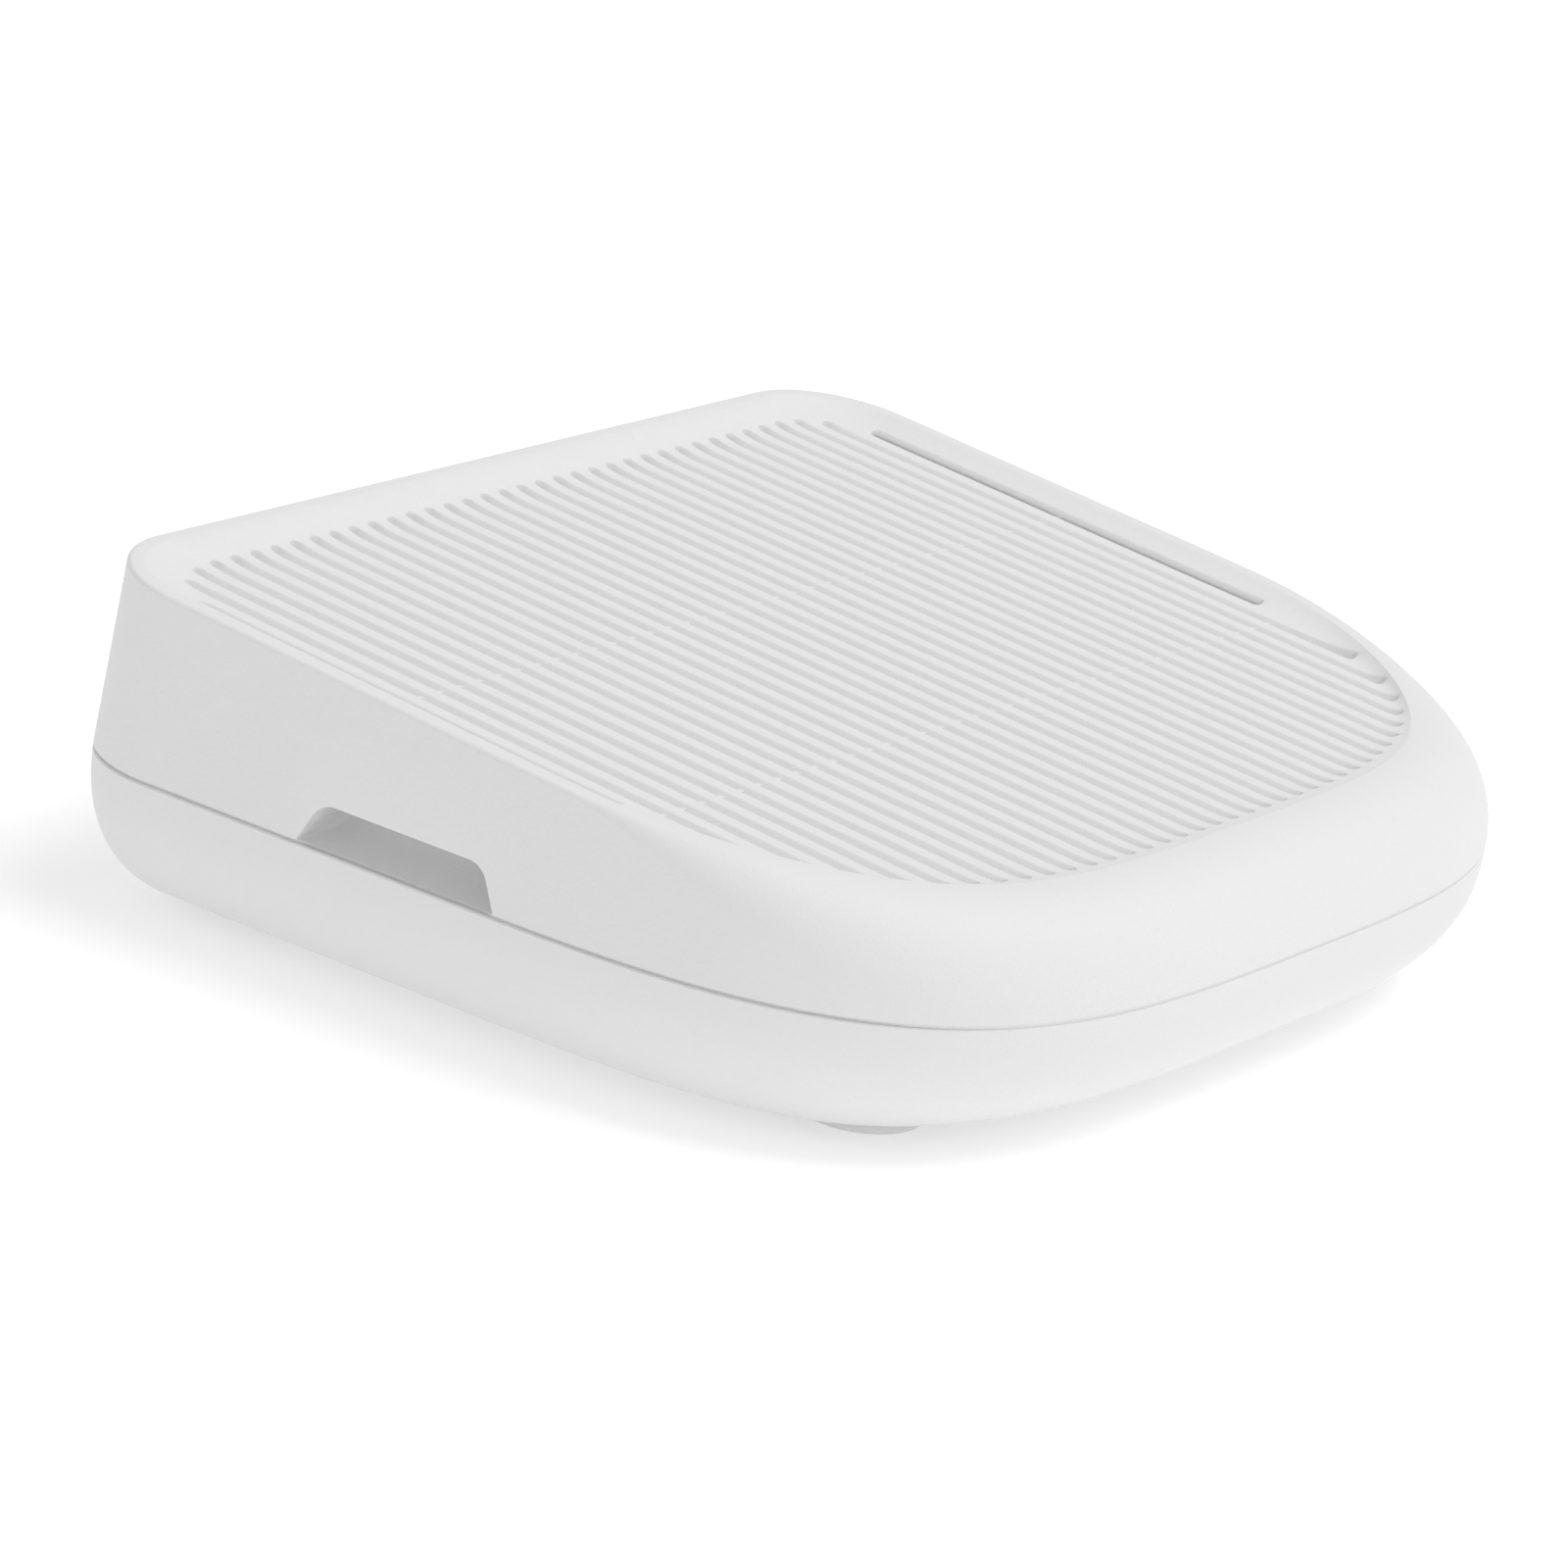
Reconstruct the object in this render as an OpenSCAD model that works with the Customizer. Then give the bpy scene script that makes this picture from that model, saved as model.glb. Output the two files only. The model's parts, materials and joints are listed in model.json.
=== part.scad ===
// Desktop wireless router: a rounded-square case with a sloping slotted top.
// Millimetres. +X is the right-hand side, -Y the front, +Z up. The feet stand on z = 0.

/* [Case] */
// Width of the case at the parting line
body_w = 164; // [162:0.5:168]
// Depth of the case at the parting line
body_d = 137; // [136.5:0.5:138]
// Height of the parting line above the table
parting_z = 19.5; // [19:0.5:20]
// Thickness of the case walls
wall = 2.2; // [2:0.1:2.4]
// Exponent of the rounded front half of the outline
front_power = 3.5; // [3.2:0.1:4]
// Radius of the two rear corners
rear_corner_r = 16.5; // [16:0.5:19]
// How far the lower case curves in under itself
bowl_run = 14.5; // [13:0.5:15]

/* [Top] */
// Slope of the top, down towards the front
top_tilt = 5.2; // [4.8:0.1:5.6]
// Height of the slotted field at the middle of the case
top_mid_z = 36.5; // [36:0.5:38]
// How far the edge of the top stands above the slotted field
lip_rise = 2; // [1.5:0.1:2.2]
// Depth of the big round along the front edge
front_round = 12; // [10:0.5:12.5]

/* [Grille] */
// Number of slots
slot_count = 38; // [30:2:38]
// Distance between slots
slot_pitch = 4; // [3.6:0.1:4]
// Width of a slot
slot_w = 1.5; // [1.2:0.1:1.8]
// Length of a bridge across a slot
bridge_len = 0.9; // [0.9:0.1:1.6]

/* [Ports] */
// Width of a network socket
jack_w = 16; // [15.8:0.1:16]
// Height of a network socket
jack_h = 13.5; // [13:0.1:13.5]
// Travel of the power button
power_travel = 1.2; // [0.8:0.1:1.2]
// Travel of the pairing button
pairing_travel = 0.6; // [0.4:0.1:0.6]
// Travel of the reset button
reset_travel = 0.3; // [0.2:0.05:0.3]

/* [Hidden] */

half_w = body_w / 2;
half_d = body_d / 2;
fit = 0.2;             // clearance between fixed pieces
slide_gap = 0.3;       // clearance round a moving button
shoulder_y = 11;       // where the straight sides meet the rounded front half
foot_h = 1.8;          // how far the feet stand out below the case
bowl_power = 2.3;      // squareness of the curve under the case
bowl_front = bowl_run + 4.5; // the curve's width under the front
draft = 1.4;           // inward lean of the upper walls, over draft_height
draft_height = 24;
edge_r = 1.2;          // radius of the crisp rear and side edges of the top
front_crest = 0.9;     // height of the front lip above the slotted field
soft_from_y = -8;      // the crisp edge starts to soften here, and is fully round at soft_to_y
soft_to_y = -62;
seam = 0.25;           // half the height of the groove between the two covers
tongue_h = 2.2;        // the lower cover's lip that closes the groove from inside
tongue_in = 2.75;      // how far the lip stands in from the outline
tongue_root = 8;       // how far the lip's foot reaches down inside the lower cover
plate = 2.2;           // thickness of the slotted plate
front_steps = 16;      // facets in a quarter of the front outline
rear_steps = 9;        // facets in a rear corner

// Slotted field, measured in from the outline at the sides, the rear and the front
field_side = 11;
field_rear = 12;
field_front = 19;
slot_end_side = half_w - 7.4;
slot_end_rear = half_d - 8;
slot_end_front = half_d - 14.5;
slot_power = 3.6;
slot_corner_r = 12;
shortest_slot = 3;     // a shorter stretch is left out
bridge_ys = [-16.6, 20.7];

// Feet, which cover the case screws
foot_r = 8.5;
foot_front = [50, -39];
foot_rear = [58, 47];
foot_shift = 2;         // how far each foot's disc stands outwards of its stud
screw_floor_z = 6;     // seat of the screw head
boss_top_z = 14;
boss_r = 4.2;
post_r = 3.4;          // radius of the top cover's posts, which take the screws

// Grip recess in the left wall
grip_y = 12.5;
grip_base = 30;
grip_top = 27;
grip_h = 5.8;
grip_depth = 8;
grip_corner_r = 2.6;

// Circuit board and rear panel
board_x = 54;
board_front = -28;
board_rear = 61.5;
board_z = 9;
board_t = 1.6;
board_top = board_z + board_t;
bay_x = 54.8;
bay_bottom = board_top + 0.2;
bay_top = 26;
panel_face = half_d - 1.6;
panel_back = panel_face - 2;

// Components that more than one piece has to find
processor_xy = [2, 8];
processor_h = 1.4;
pad_h = 1;
clip_r = 1.2;
clip_head_r = 2.4;
wifi_2g_xy = [34, -18];
wifi_5g_xy = [-32, -12];

// Ports, from the right-hand end of the panel
dc_x = 47;
power_x = 35.5;
reset_x = 27.2;
wan_x = 15.4;
lan_x = -4.4;
lan_pitch = jack_w + 0.2;
pairing_x = -49.4;
jack_depth = 16;
dc_z = board_top + 6.5;
button_z = board_top + 7;
reset_z = board_top + 4;
led_z = board_top + 10;
led_y = 50;
led_h = 0.8;
light_r = 1.5;

// Wall-mount keyholes, on a line along X in front of the board. Each neck points forwards.
keyhole_spacing = 70;
keyhole_y = -33;
keyhole_r = 4;
keyhole_neck_r = 2.1;
keyhole_run = 6;

// Slots in the floor that let cool air in
vent_count = 11;
vent_pitch = 6;
vent_w = 2;
vent_y0 = -24;
vent_len = 24;

// Antennas stand on edge inside the covers
antenna_t = 0.8;
antenna_len = 34;
antenna_h = 9;
antenna_z = board_z + 1;
antenna_rib_len = 20;
antenna_side_x = half_w - 8.5;
antenna_side_y = 22;
antenna_front_xy = [28, -half_d + 14];
connector_z = board_top;
cable_r = 0.6;

// ---------- outline and profile functions ----------

function mix(a, b, t) = a + (b - a) * t;
function smooth(t) = let(u = min(max(t, 0), 1)) u * u * (3 - 2 * u);

// Height of the slotted field at depth y
function field_z(y) = top_mid_z + y * tan(top_tilt);

// Point of the front half of the outline whose normal has angle phi
function front_point(phi) =
    let(
        a = half_w,
        b = half_d + shoulder_y,
        c = a * abs(cos(phi)),
        s = b * abs(sin(phi)),
        p = front_power - 1,
        size = pow(pow(c, front_power / p) + pow(s, front_power / p), 1 / front_power)
    )
    [sign(cos(phi)) * a * pow(c, 1 / p) / size, shoulder_y - b * pow(s, 1 / p) / size];

// Point of a rear corner's arc, side = 1 on the right and -1 on the left
function rear_point(phi, side) =
    [
        side * (half_w - rear_corner_r) + rear_corner_r * cos(phi),
        half_d - rear_corner_r + rear_corner_r * sin(phi)
    ];

// The outline as columns [x, y, angle of the normal], anticlockwise from the front
columns = [
    for (i = [0:front_steps])
        let(phi = -90 + 90 * i / front_steps) [each front_point(phi), phi],
    for (i = [0:rear_steps]) let(phi = 90 * i / rear_steps) [each rear_point(phi, 1), phi],
    for (i = [0:rear_steps])
        let(phi = 90 + 90 * i / rear_steps) [each rear_point(phi, -1), phi],
    for (i = [0:front_steps - 1])
        let(phi = 180 + 90 * i / front_steps) [each front_point(phi), phi]
];

// A column's point, moved in from the outline
function inset(c, d) = [c[0] - d * cos(c[2]), c[1] - d * sin(c[2])];

// 0 where the top edge is crisp, 1 where it is fully round
function softness(c) = smooth((soft_from_y - c[1]) / (soft_from_y - soft_to_y));

// How far the slotted field's edge lies inside the outline
function field_inset(c) =
    let(s = sin(c[2])) mix(field_side, s > 0 ? field_rear : field_front, s * s);

// One ring of points at an inset and a height that each column works out for itself
function upper_rings(gap, lip) = [
    for (c = columns)
        let(
            soft = softness(c),
            run = mix(edge_r, front_round, soft),
            lean = draft * (1 - soft),
            crest_in = gap + lean + run,
            crest_y = inset(c, crest_in)[1],
            lip_z = mix(lip_rise, front_crest, soft),
            crest_z = field_z(crest_y) + (lip ? lip_z : -plate),
            rise = mix(edge_r, crest_z - parting_z - 0.6, soft),
            flat_in = mix(crest_in + 1, crest_in + 0.3, soft),
            edge_in = max(field_inset(c), flat_in + 1)
        )
        [
            [each inset(c, gap), parting_z + seam],
            for (t = [0:22.5:90])
                [
                    each inset(c, gap + lean + run * (1 - cos(t))),
                    max(crest_z - rise * (1 - sin(t)), parting_z + seam + 0.2 + t / 900)
                ],
            if (lip) [each inset(c, flat_in), crest_z],
            if (lip)
                for (t = [0.35, 1])
                    let(p = inset(c, mix(flat_in, edge_in, t)))
                    [each p, field_z(p[1]) + lip_z * pow(1 - t, 2)]
        ]
];

// The lower case: a curve from the seam down to the flat bottom
function lower_rings(gap, bottom_z) = [
    for (c = columns)
        let(
            depth = parting_z - seam - bottom_z,
            width = mix(bowl_run, bowl_front, pow(max(0, -sin(c[2])), 2))
        )
        [
            for (t = [0:15:90])
                let(
                    drop = sin(t),
                    run = 1 - pow(1 - pow(drop, bowl_power), 1 / bowl_power)
                )
                [each inset(c, gap + (width - gap / 2) * run), bottom_z + depth * (1 - drop)]
        ]
];

// Closed cup between an outer and an inner set of profiles that share their columns.
// Each profile starts at the open rim, and its last ring is capped flat.
module cup(outer, inner, upward) {
    n = len(outer);
    rows_out = len(outer[0]);
    rows_in = len(inner[0]);
    base = n * rows_out;
    points = [for (p = outer) each p, for (p = inner) each p];
    skin = [
        for (i = [0:n - 1], k = [0:rows_out - 2])
            let(a = i * rows_out + k, b = ((i + 1) % n) * rows_out + k)
            each [[a, a + 1, b + 1], [a, b + 1, b]]
    ];
    lining = [
        for (i = [0:n - 1], k = [0:rows_in - 2])
            let(a = base + i * rows_in + k, b = base + ((i + 1) % n) * rows_in + k)
            each [[a, b + 1, a + 1], [a, b, b + 1]]
    ];
    rim = [
        for (i = [0:n - 1])
            let(j = (i + 1) % n, a = i * rows_out, b = j * rows_out)
            each [[a, b, base + j * rows_in], [a, base + j * rows_in, base + i * rows_in]]
    ];
    outer_cap = [[for (i = [0:n - 1]) (n - 1 - i) * rows_out + rows_out - 1]];
    inner_cap = [[for (i = [0:n - 1]) base + i * rows_in + rows_in - 1]];
    faces = concat(skin, lining, rim, outer_cap, inner_cap);
    polyhedron(points, upward ? faces : [for (f = faces) [for (k = [len(f) - 1:-1:0]) f[k]]]);
}

// Thin walled ring that follows the outline
module outline_ring(outer_in, inner_in, z, h) {
    translate([0, 0, z])
        linear_extrude(h)
            difference() {
                polygon([for (c = columns) inset(c, outer_in)]);
                polygon([for (c = columns) inset(c, inner_in)]);
            }
}

// ---------- small helpers ----------

module block(x, y, z, size) {
    translate([x - size[0] / 2, y - size[1] / 2, z]) cube(size);
}

module rod(x, y, z, r, h) {
    translate([x, y, z]) cylinder(r = r, h = h, $fn = 48);
}

// A round bar along Y, from y to y + h
module rod_y(x, y, z, r, h) {
    translate([x, y, z]) rotate([-90, 0, 0]) cylinder(r = r, h = h, $fn = 48);
}

module at_feet() {
    for (side = [-1, 1], place = [foot_front, foot_rear])
        translate([side * place[0], place[1], 0]) children();
}

// ---------- covers ----------

// Where the slots end at each x
function slot_front(x) =
    shoulder_y - (slot_end_front + shoulder_y)
        * pow(1 - pow(abs(x) / slot_end_side, slot_power), 1 / slot_power);
function slot_rear(x) =
    let(d = max(0, abs(x) - (slot_end_side - slot_corner_r)))
    slot_end_rear - slot_corner_r + sqrt(pow(slot_corner_r, 2) - d * d);

// One stretch of a slot between two ends
module slot_cut(x, y0, y1) {
    hull()
        for (y = [y0 + slot_w / 2, y1 - slot_w / 2])
            translate([x, y, parting_z + 5])
                rotate(22.5) cylinder(d = slot_w / cos(22.5), h = 30, $fn = 8);
}

module slot_cuts() {
    for (i = [0:slot_count - 1]) {
        x = (i - (slot_count - 1) / 2) * slot_pitch;
        stops = [slot_front(x), each bridge_ys, slot_rear(x)];
        for (k = [0:2]) {
            y0 = max(stops[0], stops[k] + (k > 0 ? bridge_len / 2 : 0));
            y1 = stops[k + 1] - (k < 2 ? bridge_len / 2 : 0);
            if (y1 - y0 > shortest_slot) slot_cut(x, y0, y1);
        }
    }
}

// Grip recess: a trapezoid seen from the side, hollowed like a scoop
module grip_cut() {
    intersection() {
        translate([-half_w - 1, grip_y, parting_z])
            rotate([90, 0, 90])
                linear_extrude(grip_depth + 1)
                    hull() {
                        translate([-grip_base / 2, seam - 1]) square([grip_base, 1]);
                        for (side = [-1, 1])
                            translate([side * (grip_top / 2 - grip_corner_r), grip_h - grip_corner_r])
                                circle(r = grip_corner_r, $fn = 24);
                    }
        translate([-half_w - 1, grip_y + grip_base, parting_z])
            rotate([90, 0, 0])
                linear_extrude(2 * grip_base)
                    polygon([
                        [0, 0],
                        for (t = [0:15:90]) [1 + grip_depth * sin(t), seam + grip_h * (1 - cos(t))],
                        [0, grip_h + 2]
                    ]);
    }
}

module top_cover() {
    color("whitesmoke")
        difference() {
            union() {
                cup(upper_rings(0, true), upper_rings(wall, false), true);
                intersection() {
                    grip_liner();
                    upper_solid();
                }
                for (side = [-1, 1], place = [foot_front, foot_rear])
                    screw_post(side * place[0], place[1]);
            }
            slot_cuts();
            grip_cut();
            at_feet() rod(0, 0, boss_top_z, 1.5, 10);
            block(0, half_d - 5, parting_z - 1, [2 * bay_x, 20, bay_top - parting_z + 1]);
        }
}

// Post that takes a case screw, from the slotted plate down to the lower cover's boss
module screw_post(x, y) {
    foot_z = boss_top_z + fit;
    rod(x, y, foot_z, post_r, field_z(y) - plate / 2 - foot_z);
}

// Block behind the grip recess that keeps the case closed there
module grip_liner() {
    translate([-half_w, grip_y - grip_base / 2 - 2, parting_z + seam])
        cube([grip_depth + 2, grip_base + 4, grip_h + 2]);
}

// The upper case as a solid, to trim pieces that lie against its wall
module upper_solid() {
    linear_extrude(parting_z + 20) polygon([for (c = columns) inset(c, draft)]);
}

module keyhole_cut(x) {
    rod(x, keyhole_y, 0, keyhole_r, 8);
    block(x, keyhole_y - keyhole_run / 2, 0, [2 * keyhole_neck_r, keyhole_run, 8]);
    rod(x, keyhole_y - keyhole_run, 0, keyhole_neck_r, 8);
}

module bottom_cover() {
    floor_z = foot_h + wall;
    color("whitesmoke")
        difference() {
            union() {
                cup(lower_rings(0, foot_h), lower_rings(wall, floor_z), false);
                outline_ring(tongue_in, tongue_in + 1.3, parting_z - tongue_root, tongue_root + tongue_h);
                at_feet() rod(0, 0, floor_z - 0.5, boss_r, boss_top_z - floor_z + 0.5);
                board_posts(floor_z - 0.5);
                antenna_ribs(floor_z - 0.5);
            }
            at_feet() {
                rod(0, 0, 0, 3, screw_floor_z);
                rod(0, 0, 0, 1.7, 20);
            }
            at_board_screws() rod(0, 0, floor_z, 1.1, 8);
            for (side = [-1, 1]) keyhole_cut(side * keyhole_spacing / 2);
            for (i = [0:vent_count - 1])
                block((i - (vent_count - 1) / 2) * vent_pitch, vent_y0 + vent_len / 2, 0,
                    [vent_w, vent_len, board_z - 1]);
            block(0, half_d, bay_bottom - 0.3, [2 * bay_x, 14, 20]);
            block(-half_w, grip_y, parting_z - seam, [grip_depth * 2 + 6, grip_base + 4, 5]);
        }
}

// ---------- rear panel ----------

module rear_panel() {
    side = bay_x - fit;
    color("gainsboro")
        difference() {
            union() {
                translate([-side, panel_back, bay_bottom])
                    cube([2 * side, panel_face - panel_back, bay_top - fit - bay_bottom]);
                translate([-side - 2.5, panel_back - 1.4, parting_z + tongue_h + 0.4])
                    cube([2 * side + 5, 1.6, bay_top - parting_z - tongue_h + 1.4]);
            }
            socket_window(wan_x, jack_w);
            socket_window(lan_x - lan_pitch, jack_w + 2 * lan_pitch);
            translate([dc_x - 4.7, panel_back - 3, 0]) cube([9.4, 8, board_top + 11.4]);
            rod_y(power_x, panel_back - 3, button_z, 4 + slide_gap, 8);
            rod_y(pairing_x, panel_back - 3, button_z, 3 + slide_gap, 8);
            rod_y(reset_x, panel_back - 3, reset_z, 1, 8);
            rod_y(reset_x, panel_back - 3, led_z, light_r + 0.05, 8);
        }
}

module socket_window(x, w) {
    translate([x - w / 2 - fit, panel_back - 3, 0])
        cube([w + 2 * fit, 8, board_top + jack_h + fit]);
}

// ---------- feet, screws and label ----------

module foot(side, place) {
    color("gainsboro")
        union() {
            translate([side * (place[0] + foot_shift), place[1], 0])
                rotate_extrude($fn = 56)
                    polygon([
                        [0, 0], [foot_r - 1.2, 0], [foot_r - 0.35, 0.35], [foot_r, 1],
                        [foot_r, foot_h], [0, foot_h]
                    ]);
            rod(side * place[0], place[1], foot_h - 1, 2.8, 2.8);
        }
}

module foot_front_left() { foot(-1, foot_front); }
module foot_front_right() { foot(1, foot_front); }
module foot_rear_left() { foot(-1, foot_rear); }
module foot_rear_right() { foot(1, foot_rear); }

module case_screws() {
    color("silver")
        at_feet()
            difference() {
                union() {
                    rod(0, 0, screw_floor_z - 2, 2.75, 2);
                    rod(0, 0, screw_floor_z, 1.45, 16);
                }
                for (turn = [0, 90])
                    rotate(turn) block(0, 0, screw_floor_z - 3, [3, 0.6, 2]);
            }
}

module rating_label() {
    color("white") block(0, -40, foot_h - 0.15, [56, 20, 0.15]);
}

// ---------- circuit board ----------

module at_board_screws() {
    for (x = [-49, 49], y = [-23, 34]) translate([x, y, 0]) children();
}

module board_posts(z) {
    at_board_screws() rod(0, 0, z, 3, board_z - z);
}

// Ribs on the floor that the antennas stand on
module antenna_ribs(z) {
    rib = [antenna_rib_len, 2, antenna_z - z];
    for (side = [-1, 1]) {
        block(side * antenna_front_xy[0], antenna_front_xy[1], z, rib);
        block(side * antenna_side_x, antenna_side_y, z, [rib[1], rib[0], rib[2]]);
    }
}

module main_board() {
    color("darkgreen")
        difference() {
            translate([-board_x, board_front, board_z])
                cube([2 * board_x, board_rear - board_front, board_t]);
            at_board_screws() rod(0, 0, board_z - 1, 1.6, 4);
            at_clips() rod(0, 0, board_z - 1, clip_r + fit, 4);
            at_feet() rod(0, 0, board_z - 1, 5.2, 4);
        }
}

module board_screws() {
    color("silver")
        at_board_screws()
            difference() {
                union() {
                    rod(0, 0, board_top, 2.6, 1.6);
                    rod(0, 0, board_z - 4, 1.05, board_t + 4);
                }
                for (turn = [0, 90]) rotate(turn) block(0, 0, board_top + 0.9, [2.8, 0.5, 2]);
            }
}

// A component that sits on the board at a place [x, y]
module chip(place, size) {
    block(place[0], place[1], board_top, size);
}

module processor() {
    color("dimgray") chip(processor_xy, [14, 14, processor_h]);
}

module thermal_pad() {
    color("lightskyblue")
        translate([0, 0, processor_h]) chip(processor_xy, [14, 14, pad_h]);
}

module heatsink() {
    base_z = board_top + processor_h + pad_h;
    color("silver")
        difference() {
            union() {
                block(processor_xy[0], processor_xy[1], base_z, [32, 32, 1.6]);
                for (i = [-5:5])
                    block(processor_xy[0] + i * 3, processor_xy[1], base_z + 1.6, [1, 32, 5]);
            }
            at_clips() {
                rod(0, 0, board_top, clip_r + fit, 10);
                rod(0, 0, base_z + 1.6, clip_head_r + fit, 10);
            }
        }
}

module at_clips() {
    for (side = [-1, 1])
        translate([processor_xy[0] + side * 13.5, processor_xy[1] + side * 13.5, 0]) children();
}

// Push pins that hold the heatsink down through the board
module heatsink_clips() {
    head_z = board_top + processor_h + pad_h + 1.6;
    color("white")
        at_clips() {
            rod(0, 0, board_z - 1.2, clip_r, head_z - board_z + 1.2);
            rod(0, 0, head_z, clip_head_r, 1);
            rod(0, 0, board_z - 1.2, clip_head_r - 0.8, 1.2);
        }
}

module memory_chip() { color("dimgray") chip([28, 8], [9, 13, 1.1]); }
module flash_chip() { color("dimgray") chip([8, -20], [6, 8, 1.6]); }
module switch_chip() { color("dimgray") chip([-4, 30], [12, 12, 1.2]); }
module wifi_chip_2g() { color("dimgray") chip(wifi_2g_xy, [8, 8, 0.9]); }
module wifi_chip_5g() { color("dimgray") chip(wifi_5g_xy, [9, 9, 0.9]); }

// Folded metal can over a radio chip
module shield_can(place, size) {
    skin = 0.3;
    hole_pitch = 3.4;
    color("silver")
        difference() {
            chip(place, size);
            translate([0, 0, -skin])
                chip(place, [size[0] - 2 * skin, size[1] - 2 * skin, size[2]]);
            for (i = [-2:2], j = [-1:1])
                rod(place[0] + i * hole_pitch, place[1] + j * hole_pitch, board_top, 0.6, size[2] + 1);
        }
}

module wifi_shield_2g() { shield_can(wifi_2g_xy, [18, 16, 2.6]); }
module wifi_shield_5g() { shield_can(wifi_5g_xy, [20, 20, 2.6]); }
module wan_transformer() { color("black") chip([wan_x, 41], [13, 9, 5.6]); }
module lan_transformer() { color("black") chip([lan_x - 22, 41], [28, 9, 5.6]); }

module power_inductor() {
    place = [40, 26];
    foot = 1;
    color("dimgray") {
        chip(place, [8, 8, foot]);
        rod(place[0], place[1], board_top + foot, 3.8, 3);
    }
}

module capacitors() {
    color("gray") for (y = [4, 14]) rod(45, y, board_top, 3.2, 8);
}

module crystals() {
    color("silver") for (place = [[16, -12], [-20, 22]]) chip(place, [5, 3.2, 1]);
}

// ---------- sockets ----------

module network_jack(x) {
    front = panel_face;
    color("silver")
        difference() {
            block(x, front - jack_depth / 2, board_top, [jack_w, jack_depth, jack_h]);
            translate([x - 6, front - 12, board_top + 3.4]) cube([12, 13, 7.6]);
            translate([x - 3.2, front - 12, board_top + 1.6]) cube([6.4, 13, 2]);
            translate([x - 2, front - 12, board_top + 0.6]) cube([4, 13, 1.2]);
        }
}

module wan_jack() { network_jack(wan_x); }
module lan_jack_1() { network_jack(lan_x); }
module lan_jack_2() { network_jack(lan_x - lan_pitch); }
module lan_jack_3() { network_jack(lan_x - 2 * lan_pitch); }

module dc_jack() {
    front = panel_face;
    color("black") {
        difference() {
            block(dc_x, front - 7, board_top, [9, 14, 11]);
            rod_y(dc_x, front - 10, dc_z, 3.15, 11);
        }
        rod_y(dc_x, front - 10.5, dc_z, 1.05, 9.5);
    }
}

// ---------- buttons ----------

// Switch housing with a bore for the button's stem
module switch_body(x, z, size, stem_r, stem_depth, face) {
    difference() {
        block(x, face - size[1] / 2, board_top, size);
        rod_y(x, face - stem_depth, z, stem_r + slide_gap, stem_depth + 1);
    }
}

module push_button(x, z, r, face, stem_r, stem_len) {
    collar = 0.8;
    rod_y(x, panel_back - 1.4 - slide_gap, z, r, face - panel_back + 1.4 + slide_gap);
    rod_y(x, panel_back - 1.4 - slide_gap - collar, z, r + 0.9, collar);
    rod_y(x, panel_back - 1.4 - collar - stem_len, z, stem_r, stem_len);
}

power_switch_face = panel_back - 2.2 - slide_gap - power_travel - 0.4;
pairing_switch_face = panel_back - 2.2 - slide_gap - pairing_travel - 0.4;
reset_switch_face = panel_back - 4;

module power_switch() {
    color("white") switch_body(power_x, button_z, [9, 12, 10.6], 1.6, 7, power_switch_face);
}

module power_button() {
    color("gainsboro") push_button(power_x, button_z, 4, half_d - 0.3, 1.6, 6);
}

module pairing_switch() {
    color("black")
        switch_body(pairing_x, button_z, [7, 7, 9.6], 1.2, 5, pairing_switch_face);
}

module pairing_button() {
    color("gainsboro") push_button(pairing_x, button_z, 3, half_d - 0.6, 1.2, 4);
}

module reset_switch() {
    color("black") switch_body(reset_x, reset_z, [6, 5, 6.8], 1.3, 2.4, reset_switch_face);
}

module reset_button() {
    color("dimgray") rod_y(reset_x, reset_switch_face - 1.6, reset_z, 1.3, 3.2);
}

module status_led() {
    color("khaki") chip([reset_x, led_y], [2.8, 2, led_h]);
}

// Clear bar that carries the light up from the board and out through the panel
module light_pipe() {
    leg = 2.6;
    leg_z = board_top + led_h + fit;
    color("white", 0.6) {
        rod_y(reset_x, led_y, led_z, light_r, panel_face - led_y);
        block(reset_x, led_y, leg_z, [leg, leg, led_z - leg_z + leg / 2]);
    }
}

// ---------- antennas ----------

module antenna(x, y, turn) {
    color("gold")
        translate([x, y, antenna_z])
            rotate(turn)
                difference() {
                    block(0, 0, 0, [antenna_len, antenna_t, antenna_h]);
                    for (i = [-1, 1]) block(i * 8, 0, 4, [11, 3, 1.5]);
                }
}

module antenna_front_left() { antenna(-antenna_front_xy[0], antenna_front_xy[1], 0); }
module antenna_front_right() { antenna(antenna_front_xy[0], antenna_front_xy[1], 0); }
module antenna_rear_left() { antenna(-antenna_side_x, antenna_side_y, 90); }
module antenna_rear_right() { antenna(antenna_side_x, antenna_side_y, 90); }

connector_places = [[-44, -25.5], [21.5, -25.5], [-46, -8], [46, -8]];

module antenna_connectors() {
    color("goldenrod")
        for (p = connector_places)
            difference() {
                union() {
                    block(p[0], p[1], connector_z, [3, 3, 0.8]);
                    rod(p[0], p[1], connector_z + 0.8, 1.4, 1);
                }
                rod(p[0], p[1], connector_z + 1.4, 0.5, 2);
            }
}

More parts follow.
